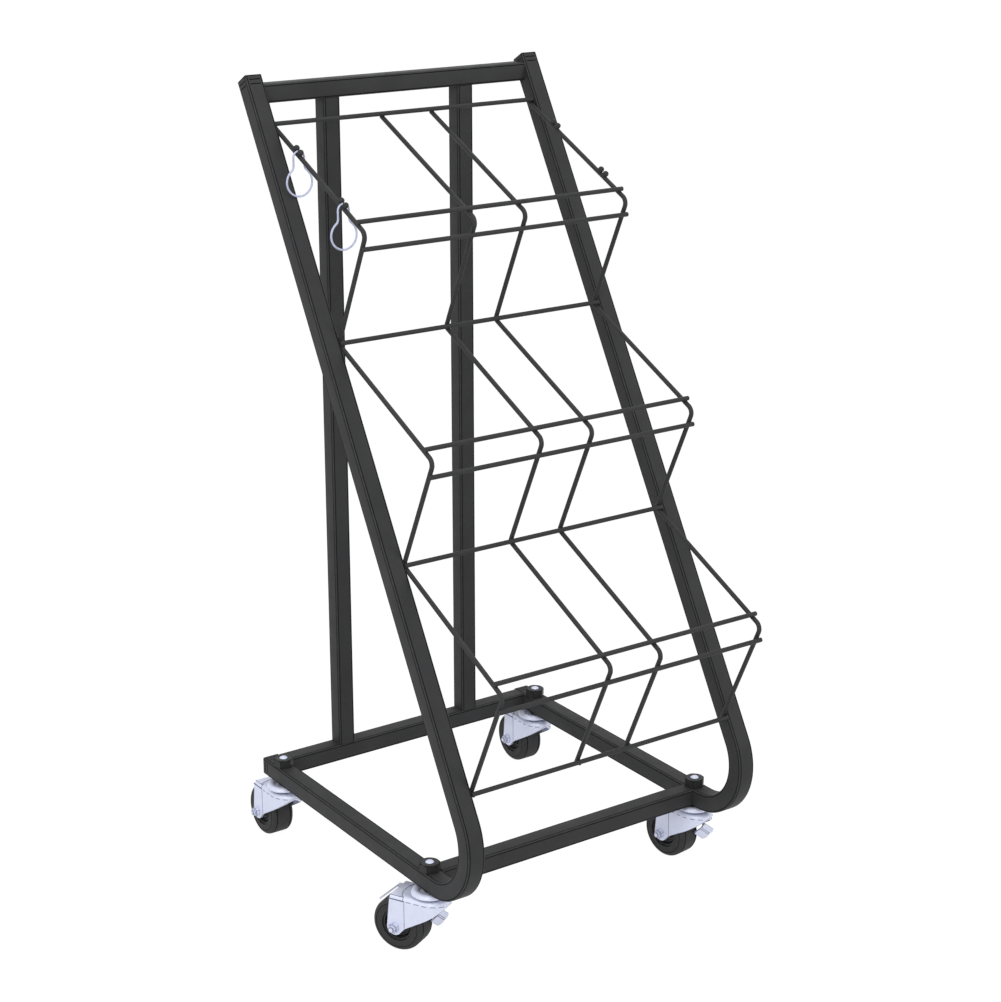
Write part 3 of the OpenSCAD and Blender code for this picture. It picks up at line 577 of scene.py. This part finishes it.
for side, x in (("left", -side_x), ("right", side_x)):
    points = side_line(x)
    grow(f"side_tube_{side}_rolled", square_tube, frame_body, points, chain(points),
         stands_for=[f"side_tube_{side}"], slot="powder_coat", Side=mm(TUBE),
         Corner_radius=mm(CORNER), Finish=powder_with_line_and_crimp_shade)

# %% [markdown]
# ## Straight tubes
# The crossbar, the two rear posts and the two base rails are saw-cut square and
# welded between the side tubes.

# %% Crossbar, posts and rails
straight_lines = {
    "top_crossbar": ((-inner_x, post_y, crossbar_z), (inner_x, post_y, crossbar_z)),
    "rear_base_rail": ((-inner_x, post_y, tube_z), (inner_x, post_y, tube_z)),
    "front_base_rail": ((-inner_x, -stem_y, tube_z), (inner_x, -stem_y, tube_z)),
}
for side, x in (("left", -POST_GAP / 2), ("right", POST_GAP / 2)):
    straight_lines[f"rear_post_{side}"] = (
        (x, post_y, tube_z + TUBE / 2), (x, post_y, crossbar_z - TUBE / 2))
for name, (first, last) in straight_lines.items():
    grow(f"{name}_rolled", square_tube, frame_body, [mm(*first), mm(*last)], [(0, 1)],
         stands_for=[name], slot="powder_coat", Side=mm(TUBE), Corner_radius=mm(CORNER),
         Finish=powder_with_line_shade)
print("tubes:", 2 + len(straight_lines))

# %% [markdown]
# ## Zigzag wires
# Each zigzag wire is one length of 6.35 mm wire that a bender folds down through
# the tiers: shelf, nose, front, rear corner, and again. The rule is short, so a
# tree writes it out: point k lies k/2 tiers down, and the odd points lie one
# shelf further. The noses get a wide bend and the rear corners a tight one.

# %% Recipe of the zigzag wire
TIERS, WIRE_D, SHELF_LEN, FRONT_LEN = 3, 6.35, 250.0, 175.0
WIRE_SIDES, CUT_EDGE = 24, 0.4
TIER_DROP, CORNER_SET, NOSE_BEND, BACK_BEND, NOSE_WIRE_SET = 74.5, 3.3, 10.0, 4.0, 19.0
MIDDLE_GAP = 81.2

zigzag, start, end = recipe("zigzag_wire", Tiers="Int", Shelf="Vector", Front="Vector",
                            Reach="Vector", Start="Vector", Nose_bend="Float", Rear_bend="Float",
                            Wire_radius="Float", Finish="Material")
count = calc(zigzag, "MULTIPLY_ADD", start["Tiers"], 2.0, 1.0)
row = add(zigzag, "GeometryNodeMeshLine", Count=count)
index = add(zigzag, "GeometryNodeInputIndex").outputs[0]
odd = calc(zigzag, "MODULO", index, 2.0)
tier = calc(zigzag, "FLOOR", calc(zigzag, "DIVIDE", index, 2.0))
first = calc(zigzag, "LESS_THAN", index, 0.5)
pitch = add(zigzag, "ShaderNodeVectorMath", {"operation": "ADD"}, i_0=start["Shelf"],
            i_1=start["Front"])
place = start["Start"]
for vector, times in ((pitch.outputs[0], tier), (start["Shelf"], odd), (start["Reach"], first)):
    step = add(zigzag, "ShaderNodeVectorMath", {"operation": "SCALE"}, i_0=vector, Scale=times)
    place = add(zigzag, "ShaderNodeVectorMath", {"operation": "ADD"}, i_0=place,
                i_1=step.outputs[0]).outputs[0]
laid = add(zigzag, "GeometryNodeSetPosition", Geometry=row.outputs[0], Position=place)
line = add(zigzag, "GeometryNodeMeshToCurve", Mesh=laid.outputs[0])
radius = calc(zigzag, "ADD", calc(zigzag, "MULTIPLY", odd, start["Nose bend"]),
              calc(zigzag, "MULTIPLY", calc(zigzag, "SUBTRACT", 1.0, odd), start["Rear bend"]))
bent = add(zigzag, "GeometryNodeFilletCurve", {"mode": "POLY"}, Curve=line.outputs[0],
           Radius=radius, Count=12)
circle = add(zigzag, "GeometryNodeCurvePrimitiveCircle", Resolution=WIRE_SIDES,
             Radius=start["Wire radius"])
swept = add(zigzag, "GeometryNodeCurveToMesh", Curve=bent.outputs[0],
            Profile_Curve=circle.outputs[0], Fill_Caps=True)
close_recipe(zigzag, start, end, swept.outputs[0])

# %% Zigzag wires
tier_angle = math.atan(FRONT_LEN / SHELF_LEN)
tier_pitch = math.hypot(SHELF_LEN, FRONT_LEN)
shelf_dir = (math.sin(tier_angle), -math.cos(tier_angle))
front_dir = (-math.cos(tier_angle), -math.sin(tier_angle))


def tier_point(tier, shelf=0.0, front=0.0):
    """Ahead and along of a point: from a tier's rear corner down its shelf, then its front."""
    return (CORNER_SET + shelf * shelf_dir[0] + front * front_dir[0],
            lean_run - TIER_DROP - tier * tier_pitch + shelf * shelf_dir[1] + front * front_dir[1])


def lean_vector(ahead, along):
    """A direction of the leaning plane, in metres."""
    return leaning(0, ahead, along) - leaning(0, 0, 0)


outer_wire_x = inner_x - WIRE_D / 2
zigzag_xs = (-outer_wire_x, -MIDDLE_GAP / 2, MIDDLE_GAP / 2, outer_wire_x)
shelf_vector = lean_vector(*(SHELF_LEN * c for c in shelf_dir))
front_vector = lean_vector(*(FRONT_LEN * c for c in front_dir))
for k, x in enumerate(zigzag_xs, start=1):
    wire = grow(f"zigzag_wire_{k}_bent", zigzag, frame_body, [], [], soften_mm=CUT_EDGE,
                stands_for=[f"zigzag_wire_{k}"], slot="powder_coat", Tiers=TIERS,
                Shelf=shelf_vector, Front=front_vector, Reach=-shelf_vector * WIRE_D / SHELF_LEN,
                Start=leaning(x, *tier_point(0)), Nose_bend=mm(NOSE_BEND), Rear_bend=mm(BACK_BEND),
                Wire_radius=mm(WIRE_D / 2), Finish=powder_coat)
    print(wire.name, len(wire.data.polygons), "faces")

# %% [markdown]
# ## Straight wires
# Ten straight wires tie the zigzags together. A shear cuts them, which leaves a
# flat end with a small soft edge. They are swept from two points by the same kind
# of recipe, which also takes the closed line of a ring.

# %% Recipe of the straight wire and the ring
plain_wire, start, end = recipe("plain_wire", Wire_radius="Float", Sides="Int", Finish="Material")
line = add(plain_wire, "GeometryNodeMeshToCurve", Mesh=start["Geometry"])
circle = add(plain_wire, "GeometryNodeCurvePrimitiveCircle", Resolution=start["Sides"],
             Radius=start["Wire radius"])
swept = add(plain_wire, "GeometryNodeCurveToMesh", Curve=line.outputs[0],
            Profile_Curve=circle.outputs[0], Fill_Caps=True)
close_recipe(plain_wire, start, end, swept.outputs[0])

# %% Straight wires
cross_lines = {"cross_wire_top": (tier_point(0, WIRE_D / 2 - WIRE_D, -WIRE_D), inner_x)}
for k in range(TIERS):
    cross_lines[f"cross_wire_back_{k + 1}"] = (tier_point(k + 1, WIRE_D, -WIRE_D), inner_x)
    cross_lines[f"cross_wire_shelf_{k + 1}"] = (
        tier_point(k, SHELF_LEN - NOSE_WIRE_SET, -WIRE_D), inner_x)
    cross_lines[f"cross_wire_front_{k + 1}"] = (
        tier_point(k, SHELF_LEN + WIRE_D, NOSE_WIRE_SET), inner_x)
for name, (spot, half) in cross_lines.items():
    line = [leaning(-half, *spot), leaning(half, *spot)]
    wire = grow(f"{name}_cut", plain_wire, frame_body, line, [(0, 1)], soften_mm=CUT_EDGE,
                stands_for=[name], slot="powder_coat", Wire_radius=mm(WIRE_D / 2),
                Sides=WIRE_SIDES, Finish=powder_coat)
    print(name, "differs from its solid by", corner_gap_mm(wire, name), "mm")

# %% [markdown]
# ## Weld nuggets
# Where two wires cross, a resistance welder presses and melts them together. A
# small collar of metal is squeezed out round each contact and is coated with the
# rest. There are forty of them, all alike but for their size, so a tree places
# one shape on every crossing, with a fixed seed for the sizes.

# %% Recipe of the weld nuggets
nuggets, start, end = recipe("weld_nuggets", Nugget_radius="Float", Spread="Float", Seed="Int",
                             Finish="Material")
crossings = add(nuggets, "GeometryNodeMeshToPoints", Mesh=start["Geometry"])
blob = add(nuggets, "GeometryNodeMeshIcoSphere", Radius=start["Nugget radius"], Subdivisions=2)
size = add(nuggets, "FunctionNodeRandomValue", {"data_type": "FLOAT"}, Seed=start["Seed"])
size.inputs[2].default_value, size.inputs[3].default_value = -1.0, 1.0
grown = calc(nuggets, "MULTIPLY_ADD", size.outputs[1], start["Spread"], 1.0)
placed = add(nuggets, "GeometryNodeInstanceOnPoints", Points=crossings.outputs[0],
             Instance=blob.outputs[0], Scale=grown)
close_recipe(nuggets, start, end, placed.outputs[0])

# %% Weld nuggets
spots = []
for name, ((ahead, along), _) in cross_lines.items():
    toward = (-shelf_dir[0], -shelf_dir[1]) if "front" in name else front_dir
    touch = (ahead + toward[0] * WIRE_D / 2, along + toward[1] * WIRE_D / 2)
    spots += [leaning(x, *touch) for x in zigzag_xs]
grow("weld_nuggets", nuggets, frame_body, spots, [], sharp_degrees=80, slot="powder_coat",
     Nugget_radius=mm(2.3), Spread=0.12, Seed=7, Finish=powder_coat)
print("weld nuggets:", len(spots))

# %% [markdown]
# ## Hanging rings
# Two pear-shaped rings hang from the left wire, each between two ball pegs. They
# are 2.8 mm zinc-plated wire, bent in one go: a narrow neck, two counter bends
# and a round loop. The line is laid out from those radii and swept. Each ring
# swings on its neck, so it rides on its own body.

# %% Hanging rings
RING_WIRE_D, RING_LOOP_R, RING_NECK_R, RING_DROP, RING_FILLET = 2.8, 19.0, 8.2, 32.5, 8.6
RING_CLEARANCE = 0.3
RINGS = {"hanging_ring_upper": (0.25, 1.2), "hanging_ring_lower": (0.75, 0.0)}


def ring_line(steps=(16, 12, 40)):
    """Half of the pear, from the crown of the neck to the foot of the loop, then mirrored."""
    fillet_x = RING_NECK_R + RING_FILLET
    loop_y = -RING_NECK_R - RING_DROP
    fillet_y = loop_y + math.sqrt((RING_LOOP_R + RING_FILLET) ** 2 - fillet_x ** 2)
    side = math.atan2(fillet_y - loop_y, fillet_x)
    half = [(RING_NECK_R * math.sin(a), RING_NECK_R * math.cos(a) - RING_NECK_R)
            for a in (math.pi / 2 * k / steps[0] for k in range(steps[0] + 1))]
    half += [(fillet_x - RING_FILLET * math.cos(a), fillet_y - RING_FILLET * math.sin(a))
             for a in (side * k / steps[1] for k in range(steps[1] + 1))]
    foot = math.pi / 2 + side
    half += [(RING_LOOP_R * math.cos(a), loop_y + RING_LOOP_R * math.sin(a))
             for a in (side - foot * k / steps[2] for k in range(1, steps[2] + 1))]
    return half + [(-x, y) for x, y in reversed(half[1:-1])]


out = WIRE_D / 2 + RING_WIRE_D / 2 + RING_CLEARANCE
for name, (share, tilt) in RINGS.items():
    crown = leaning(-outer_wire_x, *tier_point(0, share * SHELF_LEN, -out))
    turn = Matrix.Rotation(math.radians(90 - tilt), 3, "X")
    pear = [crown + turn @ mm(x, y, 0) for x, y in ring_line()]
    ring = grow(f"{name}_bent", plain_wire, body_of[name], pear,
                chain(pear) + [(len(pear) - 1, 0)], stands_for=[name], slot="bright_zinc",
                Wire_radius=mm(RING_WIRE_D / 2), Sides=16, Finish=zinc_on_wire)
    print(name, "differs from its solid by", corner_gap_mm(ring, name), "mm")

# %% [markdown]
# ## Bearing balls
# A ring of twelve balls carries each caster under its cup, and shows in the gap
# above the fork. The balls take a darker zinc, a painted shade of that gap.
# A tree puts balls on a circle, and the circle on the four stems.

# %% Bearing balls
CASTERS = {"fl": (-1, -1, 27.5), "fr": (1, -1, 8.3), "rl": (-1, 1, 0.0), "rr": (1, 1, 0.0)}
FORK_TOP, BALL_D, RACE_R, BALL_LIFT = CASTER_H - 11.7, 6.35, 19.5, 0.3

ball_race, start, end = recipe("ball_race", Balls="Int", Race_radius="Float", Ball_radius="Float",
                               Finish="Material")
ring = add(ball_race, "GeometryNodeMeshCircle", Vertices=start["Balls"],
           Radius=start["Race radius"])
ball = add(ball_race, "GeometryNodeMeshUVSphere", Segments=24, Rings=14,
           Radius=start["Ball radius"])
row = add(ball_race, "GeometryNodeInstanceOnPoints", Points=ring.outputs[0],
          Instance=ball.outputs[0])
stems = add(ball_race, "GeometryNodeMeshToPoints", Mesh=start["Geometry"])
races = add(ball_race, "GeometryNodeInstanceOnPoints", Points=stems.outputs[0],
            Instance=row.outputs[0])
close_recipe(ball_race, start, end, races.outputs[0])
stem_spots = [mm(sx * side_x, sy * stem_y, FORK_TOP + BALL_LIFT + BALL_D / 2)
              for sx, sy, _ in CASTERS.values()]
balls = grow("swivel_balls_polished", ball_race, body_of["swivel_balls"], stem_spots, [],
             stands_for=["swivel_balls"], slot="bright_zinc", Balls=12, Race_radius=mm(RACE_R),
             Ball_radius=mm(BALL_D / 2), Finish=zinc_gap_shade)
print("balls:", len(balls.data.polygons), "faces")

# %% [markdown]
# ## Press lines on the forks
# Each fork is pressed from 3 mm sheet in a few strokes. The strokes leave thin
# lines: down the crease where the flat leg leaves the round flank, along the
# shoulder of the leg, round the flat rear of the top plate, and a row of short
# ticks along the flank's shoulder, where the die was stepped. They are drawn
# 0.8 mm wide, because finer ones would not show, in a darker zinc that is
# painted shade along each crease and step.

# %% Lines of a fork
FORK_HALF_W, SHOULDER, FLANK_R, NOSE_R, FIELD_R = 23.0, 6.0, 34.0, 8.0, 37.0
AXLE_Z, TRAIL, CREASE_E, PLATE_REAR, LEG_PROUD = 37.5, 42.0, 27.0, 49.0, 0.5
DASH, DASH_PITCH, FIRST_DASH, PRESS_LINE_R = 7, 12, 3, 0.4
flank_centre = FLANK_R - FORK_HALF_W
nose_centre = math.sqrt((FLANK_R - NOSE_R) ** 2 - flank_centre ** 2)
flank_turn = math.atan2(nose_centre, flank_centre)


def flank_path(z):
    """The right flank's outline, from the crease round to the nose, a point each millimetre."""
    path = [Vector((FORK_HALF_W, CREASE_E - k, z)) for k in range(int(CREASE_E))]
    steps = round(flank_turn * FLANK_R)
    for k in range(steps + 1):
        a = flank_turn * k / steps
        path.append(Vector((FLANK_R * math.cos(a) - flank_centre, -FLANK_R * math.sin(a), z)))
    return path


def fork_lines():
    """Press lines of the right half, as lists of points in the fork's own frame."""
    low = FORK_TOP - SHOULDER
    leg_x = FORK_HALF_W + LEG_PROUD
    lines = [
        [Vector((FORK_HALF_W, CREASE_E, z)) for z in (AXLE_Z + 1.0, low)],
        [Vector((leg_x, e, low)) for e in (CREASE_E + 1.0, PLATE_REAR + 2.2)],
        [Vector((leg_x - LEG_PROUD, e, low + 0.4)) for e in (CREASE_E, PLATE_REAR + 2.0)],
    ]
    bend = [(SHOULDER * (1 - math.cos(math.radians(a))), SHOULDER * math.sin(math.radians(a)))
            for a in range(0, 91, 18)]
    lines.append([Vector((FORK_HALF_W - inset, CREASE_E + 2, low + rise))
                  for inset, rise in bend[:-1]])
    inset, rise = bend[3]
    lines.append([Vector((FORK_HALF_W - inset, e, low + rise)) for e in (CREASE_E + 2, PLATE_REAR)])
    reach = math.asin((FORK_HALF_W - 2.5) / FIELD_R)
    lines.append([Vector((FIELD_R * math.sin(a), FIELD_R * math.cos(a), FORK_TOP))
                  for a in (reach * k / 12 for k in range(13))])
    path = flank_path(low)
    lines += [path[k:k + DASH + 1] for k in range(FIRST_DASH, len(path) - DASH, DASH_PITCH)]
    return lines


press_lines, start, end = recipe("press_lines", Line_radius="Float", Finish="Material")
line = add(press_lines, "GeometryNodeMeshToCurve", Mesh=start["Geometry"])
circle = add(press_lines, "GeometryNodeCurvePrimitiveCircle", Resolution=6,
             Radius=start["Line radius"])
swept = add(press_lines, "GeometryNodeCurveToMesh", Curve=line.outputs[0],
            Profile_Curve=circle.outputs[0], Fill_Caps=True)
close_recipe(press_lines, start, end, swept.outputs[0])


def stand_of(key):
    """The frame of a caster: at its stem, turned with its swivel."""
    sx, sy, swivel = CASTERS[key]
    return Matrix.Translation(mm(sx * side_x, sy * stem_y, 0)) @ Matrix.Rotation(
        math.radians(swivel), 4, "Z")


def draw_lines(name, rows, place, node, finish):
    """Thin swept lines on a node, through rows of points in a frame; a row may close."""
    points, edges = [], []
    for row in rows:
        closed = (row[0] - row[-1]).length < 0.001
        row = row[:-1] if closed else row
        edges += [(len(points) + i, len(points) + j) for i, j in chain(row)]
        if closed:
            edges.append((len(points) + len(row) - 1, len(points)))
        points += [place @ mm(*p) for p in row]
    return grow(name, press_lines, body_of[node], points, edges, slot=slot_of[node],
                Line_radius=mm(PRESS_LINE_R), Finish=finish)


for key in CASTERS:
    rows = [[Vector((flip * p.x, p.y, p.z)) for p in row]
            for flip in (1, -1) for row in fork_lines()]
    draw_lines(f"fork_{key}_press_lines", rows, stand_of(key), f"fork_{key}", zinc_line_shade)
print("press lines on a fork:", len(rows))

# %% [markdown]
# ## Lines on the treads and on the brake pedals
# The mould of a tread parts where its side wall meets the round shoulder, and
# leaves a fine ring there. A brake pedal is a strip folded along its length, and
# the fold leaves two lines. Both are drawn with the recipe of the press lines,
# in near black or darker zinc as painted shade along the ring and the fold.

# %% Rings of the treads, folds of the pedals
WALL_RING_R, WALL_RING_X = 31.3, 17.35
PEDAL_ROOT, PEDAL_SLOPE, PEDAL_LEN = (10.8, -4.3, 51.6), 39.0, 27.0
FOLD_LINES, FOLD_FROM, FOLD_TO = ((0.2, 2.0), (-1.9, 1.1)), 1.5, PEDAL_LEN - 3.0


def pedal_frame(key):
    """The pedal's own frame: X along its fold, Y up its two leaves, Z out of its face."""
    slope = Matrix.Rotation(math.radians(PEDAL_SLOPE), 4, "Y")
    return (stand_of(key) @ Matrix.Translation(mm(*PEDAL_ROOT)) @ slope
            @ Matrix.Rotation(math.pi / 2, 4, "X"))


ring_turn = [2 * math.pi * k / 72 for k in range(73)]
for key in CASTERS:
    rings = [[Vector((x, TRAIL + WALL_RING_R * math.cos(a), AXLE_Z + WALL_RING_R * math.sin(a)))
              for a in ring_turn] for x in (-WALL_RING_X, WALL_RING_X)]
    draw_lines(f"tyre_{key}_mould_rings", rings, stand_of(key), f"tyre_{key}", black_line_shade)
for key in ("fl", "fr"):
    folds = [[Vector((FOLD_FROM, up, out)), Vector((FOLD_TO, up, out))] for up, out in FOLD_LINES]
    draw_lines(f"brake_lever_{key}_fold_lines", folds, pedal_frame(key), f"brake_lever_{key}",
               zinc_line_shade)
print("rings and folds:", 2 * len(CASTERS), 2 * len(folds))

# %% [markdown]
# ## Hub faces
# The hub is moulded with two raised rings each side, between the tread and the
# axle, so that it shows as circles in the shade of the fork. A lathe profile
# gives them: a list of radius and distance from the wheel's middle, turned round
# the axle in 64 steps. They turn with the wheel.

# %% Hub faces
def lathe(name, profile, place, body, finish, steps=64):
    """A closed profile of (radius, along) points in millimetres, turned round a place's X axis."""
    shape = bmesh.new()
    rings = []
    for k in range(steps):
        a = 2 * math.pi * k / steps
        rings.append([shape.verts.new(place @ mm(along, r * math.cos(a), r * math.sin(a)))
                      for r, along in profile])
    for k in range(steps):
        for i in range(len(profile)):
            j, n = (i + 1) % len(profile), (k + 1) % steps
            shape.faces.new((rings[k][i], rings[k][j], rings[n][j], rings[n][i]))
    bmesh.ops.recalc_face_normals(shape, faces=shape.faces)
    for face in shape.faces:
        face.smooth = True
    mesh = bpy.data.meshes.new(name)
    shape.to_mesh(mesh)
    shape.free()
    mesh.set_sharp_from_angle(angle=math.radians(30))
    mesh.materials.append(finish)
    piece = bpy.data.objects.new(name, mesh)
    scene.collection.objects.link(piece)
    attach(piece, body)
    return piece


RING_PROFILE = [(9.2, 4.2), (17.6, 4.2), (17.2, 10.6), (16.6, 11.4), (15.4, 11.4), (14.9, 10.6),
                (14.7, 9.4), (12.6, 9.4), (12.4, 12.6), (11.8, 13.4), (10.4, 13.4), (9.8, 12.6)]
for key in CASTERS:
    axle = stand_of(key) @ Matrix.Translation(mm(0, TRAIL, AXLE_Z))
    for side, flip in (("near", -1), ("far", 1)):
        lathe(f"hub_face_{key}_{side}", [(r, flip * a) for r, a in RING_PROFILE], axle,
              body_of[f"wheel_hub_{key}"], finishes["hub_plastic"])

# %% [markdown]
# ## Smooth skins
# A turned or pressed piece reaches this file as loose flat triangles, and light
# would show each of them. A merged copy with smooth shading takes its place.
# Edges sharper than 30 degrees are broken by a narrow bevel, as a file or a
# tumbling barrel leaves them. The bevel has the darker finish, a painted shade
# which draws each edge as the photograph shows it. A
# round notch parts the free end of each brake pedal into its two lobes.

# %% Smooth copies of turned and pressed solids
NOTCH_R, NOTCH_AT, NOTCH_DEPTH = 4.0, (PEDAL_LEN + 1.4, -0.8, 0), 30.0


def cut_notch(piece, place, sharp_degrees):
    """Cuts a round notch through a piece, along a place's Z axis."""
    tool = bmesh.new()
    bmesh.ops.create_cone(tool, cap_ends=True, segments=32, radius1=mm(NOTCH_R),
                          radius2=mm(NOTCH_R), depth=mm(NOTCH_DEPTH), matrix=place)
    mesh = bpy.data.meshes.new("notch")
    tool.to_mesh(mesh)
    tool.free()
    cutter = bpy.data.objects.new("notch", mesh)
    scene.collection.objects.link(cutter)
    cut = piece.modifiers.new("notch", "BOOLEAN")
    cut.operation, cut.solver, cut.object = "DIFFERENCE", "EXACT", cutter
    plain_mesh(piece).set_sharp_from_angle(angle=math.radians(sharp_degrees))
    bpy.data.objects.remove(cutter)


def smooth_skin(node, edge_mm, edge_shade_finish, sharp_degrees=30):
    """A merged, smooth-shaded copy of a solid with broken edges in painted shade, which replaces
    it.
    """
    mesh = nodes[node].data.copy()
    mesh.name = node + "_skin"
    # Slot 1 holds the painted shade of the broken edges.
    mesh.materials.append(edge_shade_finish)
    shape = bmesh.new()
    shape.from_mesh(mesh)
    bmesh.ops.remove_doubles(shape, verts=shape.verts, dist=mm(0.002))
    bmesh.ops.dissolve_limit(shape, angle_limit=math.radians(0.5), verts=shape.verts,
                             edges=shape.edges)
    limit = math.radians(sharp_degrees)
    crisp = [e for e in shape.edges if len(e.link_faces) == 2 and e.calc_face_angle(0) > limit]
    bmesh.ops.bevel(shape, geom=crisp, offset=mm(edge_mm), offset_type="OFFSET", segments=1,
                    profile=0.5, affect="EDGES", clamp_overlap=False, material=1)
    for face in shape.faces:
        face.smooth = True
    for edge in shape.edges:
        beside_bevel = any(face.material_index == 1 for face in edge.link_faces)
        if beside_bevel or len(edge.link_faces) != 2 or edge.calc_face_angle(0) > limit:
            edge.smooth = False
    shape.to_mesh(mesh)
    shape.free()
    piece = bpy.data.objects.new(node + "_skin", mesh)
    scene.collection.objects.link(piece)
    if node.startswith("brake_lever_"):
        cut_notch(piece, pedal_frame(node[-2:]) @ Matrix.Translation(mm(*NOTCH_AT)), sharp_degrees)
    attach(piece, body_of[node])
    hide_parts(node)
    return piece


# %% Skins, by the width of their broken edges
# Width of each broken edge, and the finish that paints its shade.
edges_of = {
    "fork_": (0.3, zinc_line_shade), "race_cup_": (0.4, zinc_line_shade),
    "axle_bolt_": (0.35, zinc_line_shade), "brake_": (0.4, zinc_line_shade),
    "caster_stems": (0.3, zinc_line_shade), "stem_nuts": (0.5, black_line_shade),
    "stem_collars": (0.3, black_line_shade), "tyre_": (0.35, black_line_shade),
    "wheel_hub_": (0.35, black_line_shade), "plug_": (0.3, black_line_shade),
    "ring_pegs_": (0.1, black_line_shade),
}
for start_of_name, (edge_mm, edge_shade_finish) in edges_of.items():
    for name in [n for n in nodes if n.startswith(start_of_name)]:
        smooth_skin(name, edge_mm, edge_shade_finish)
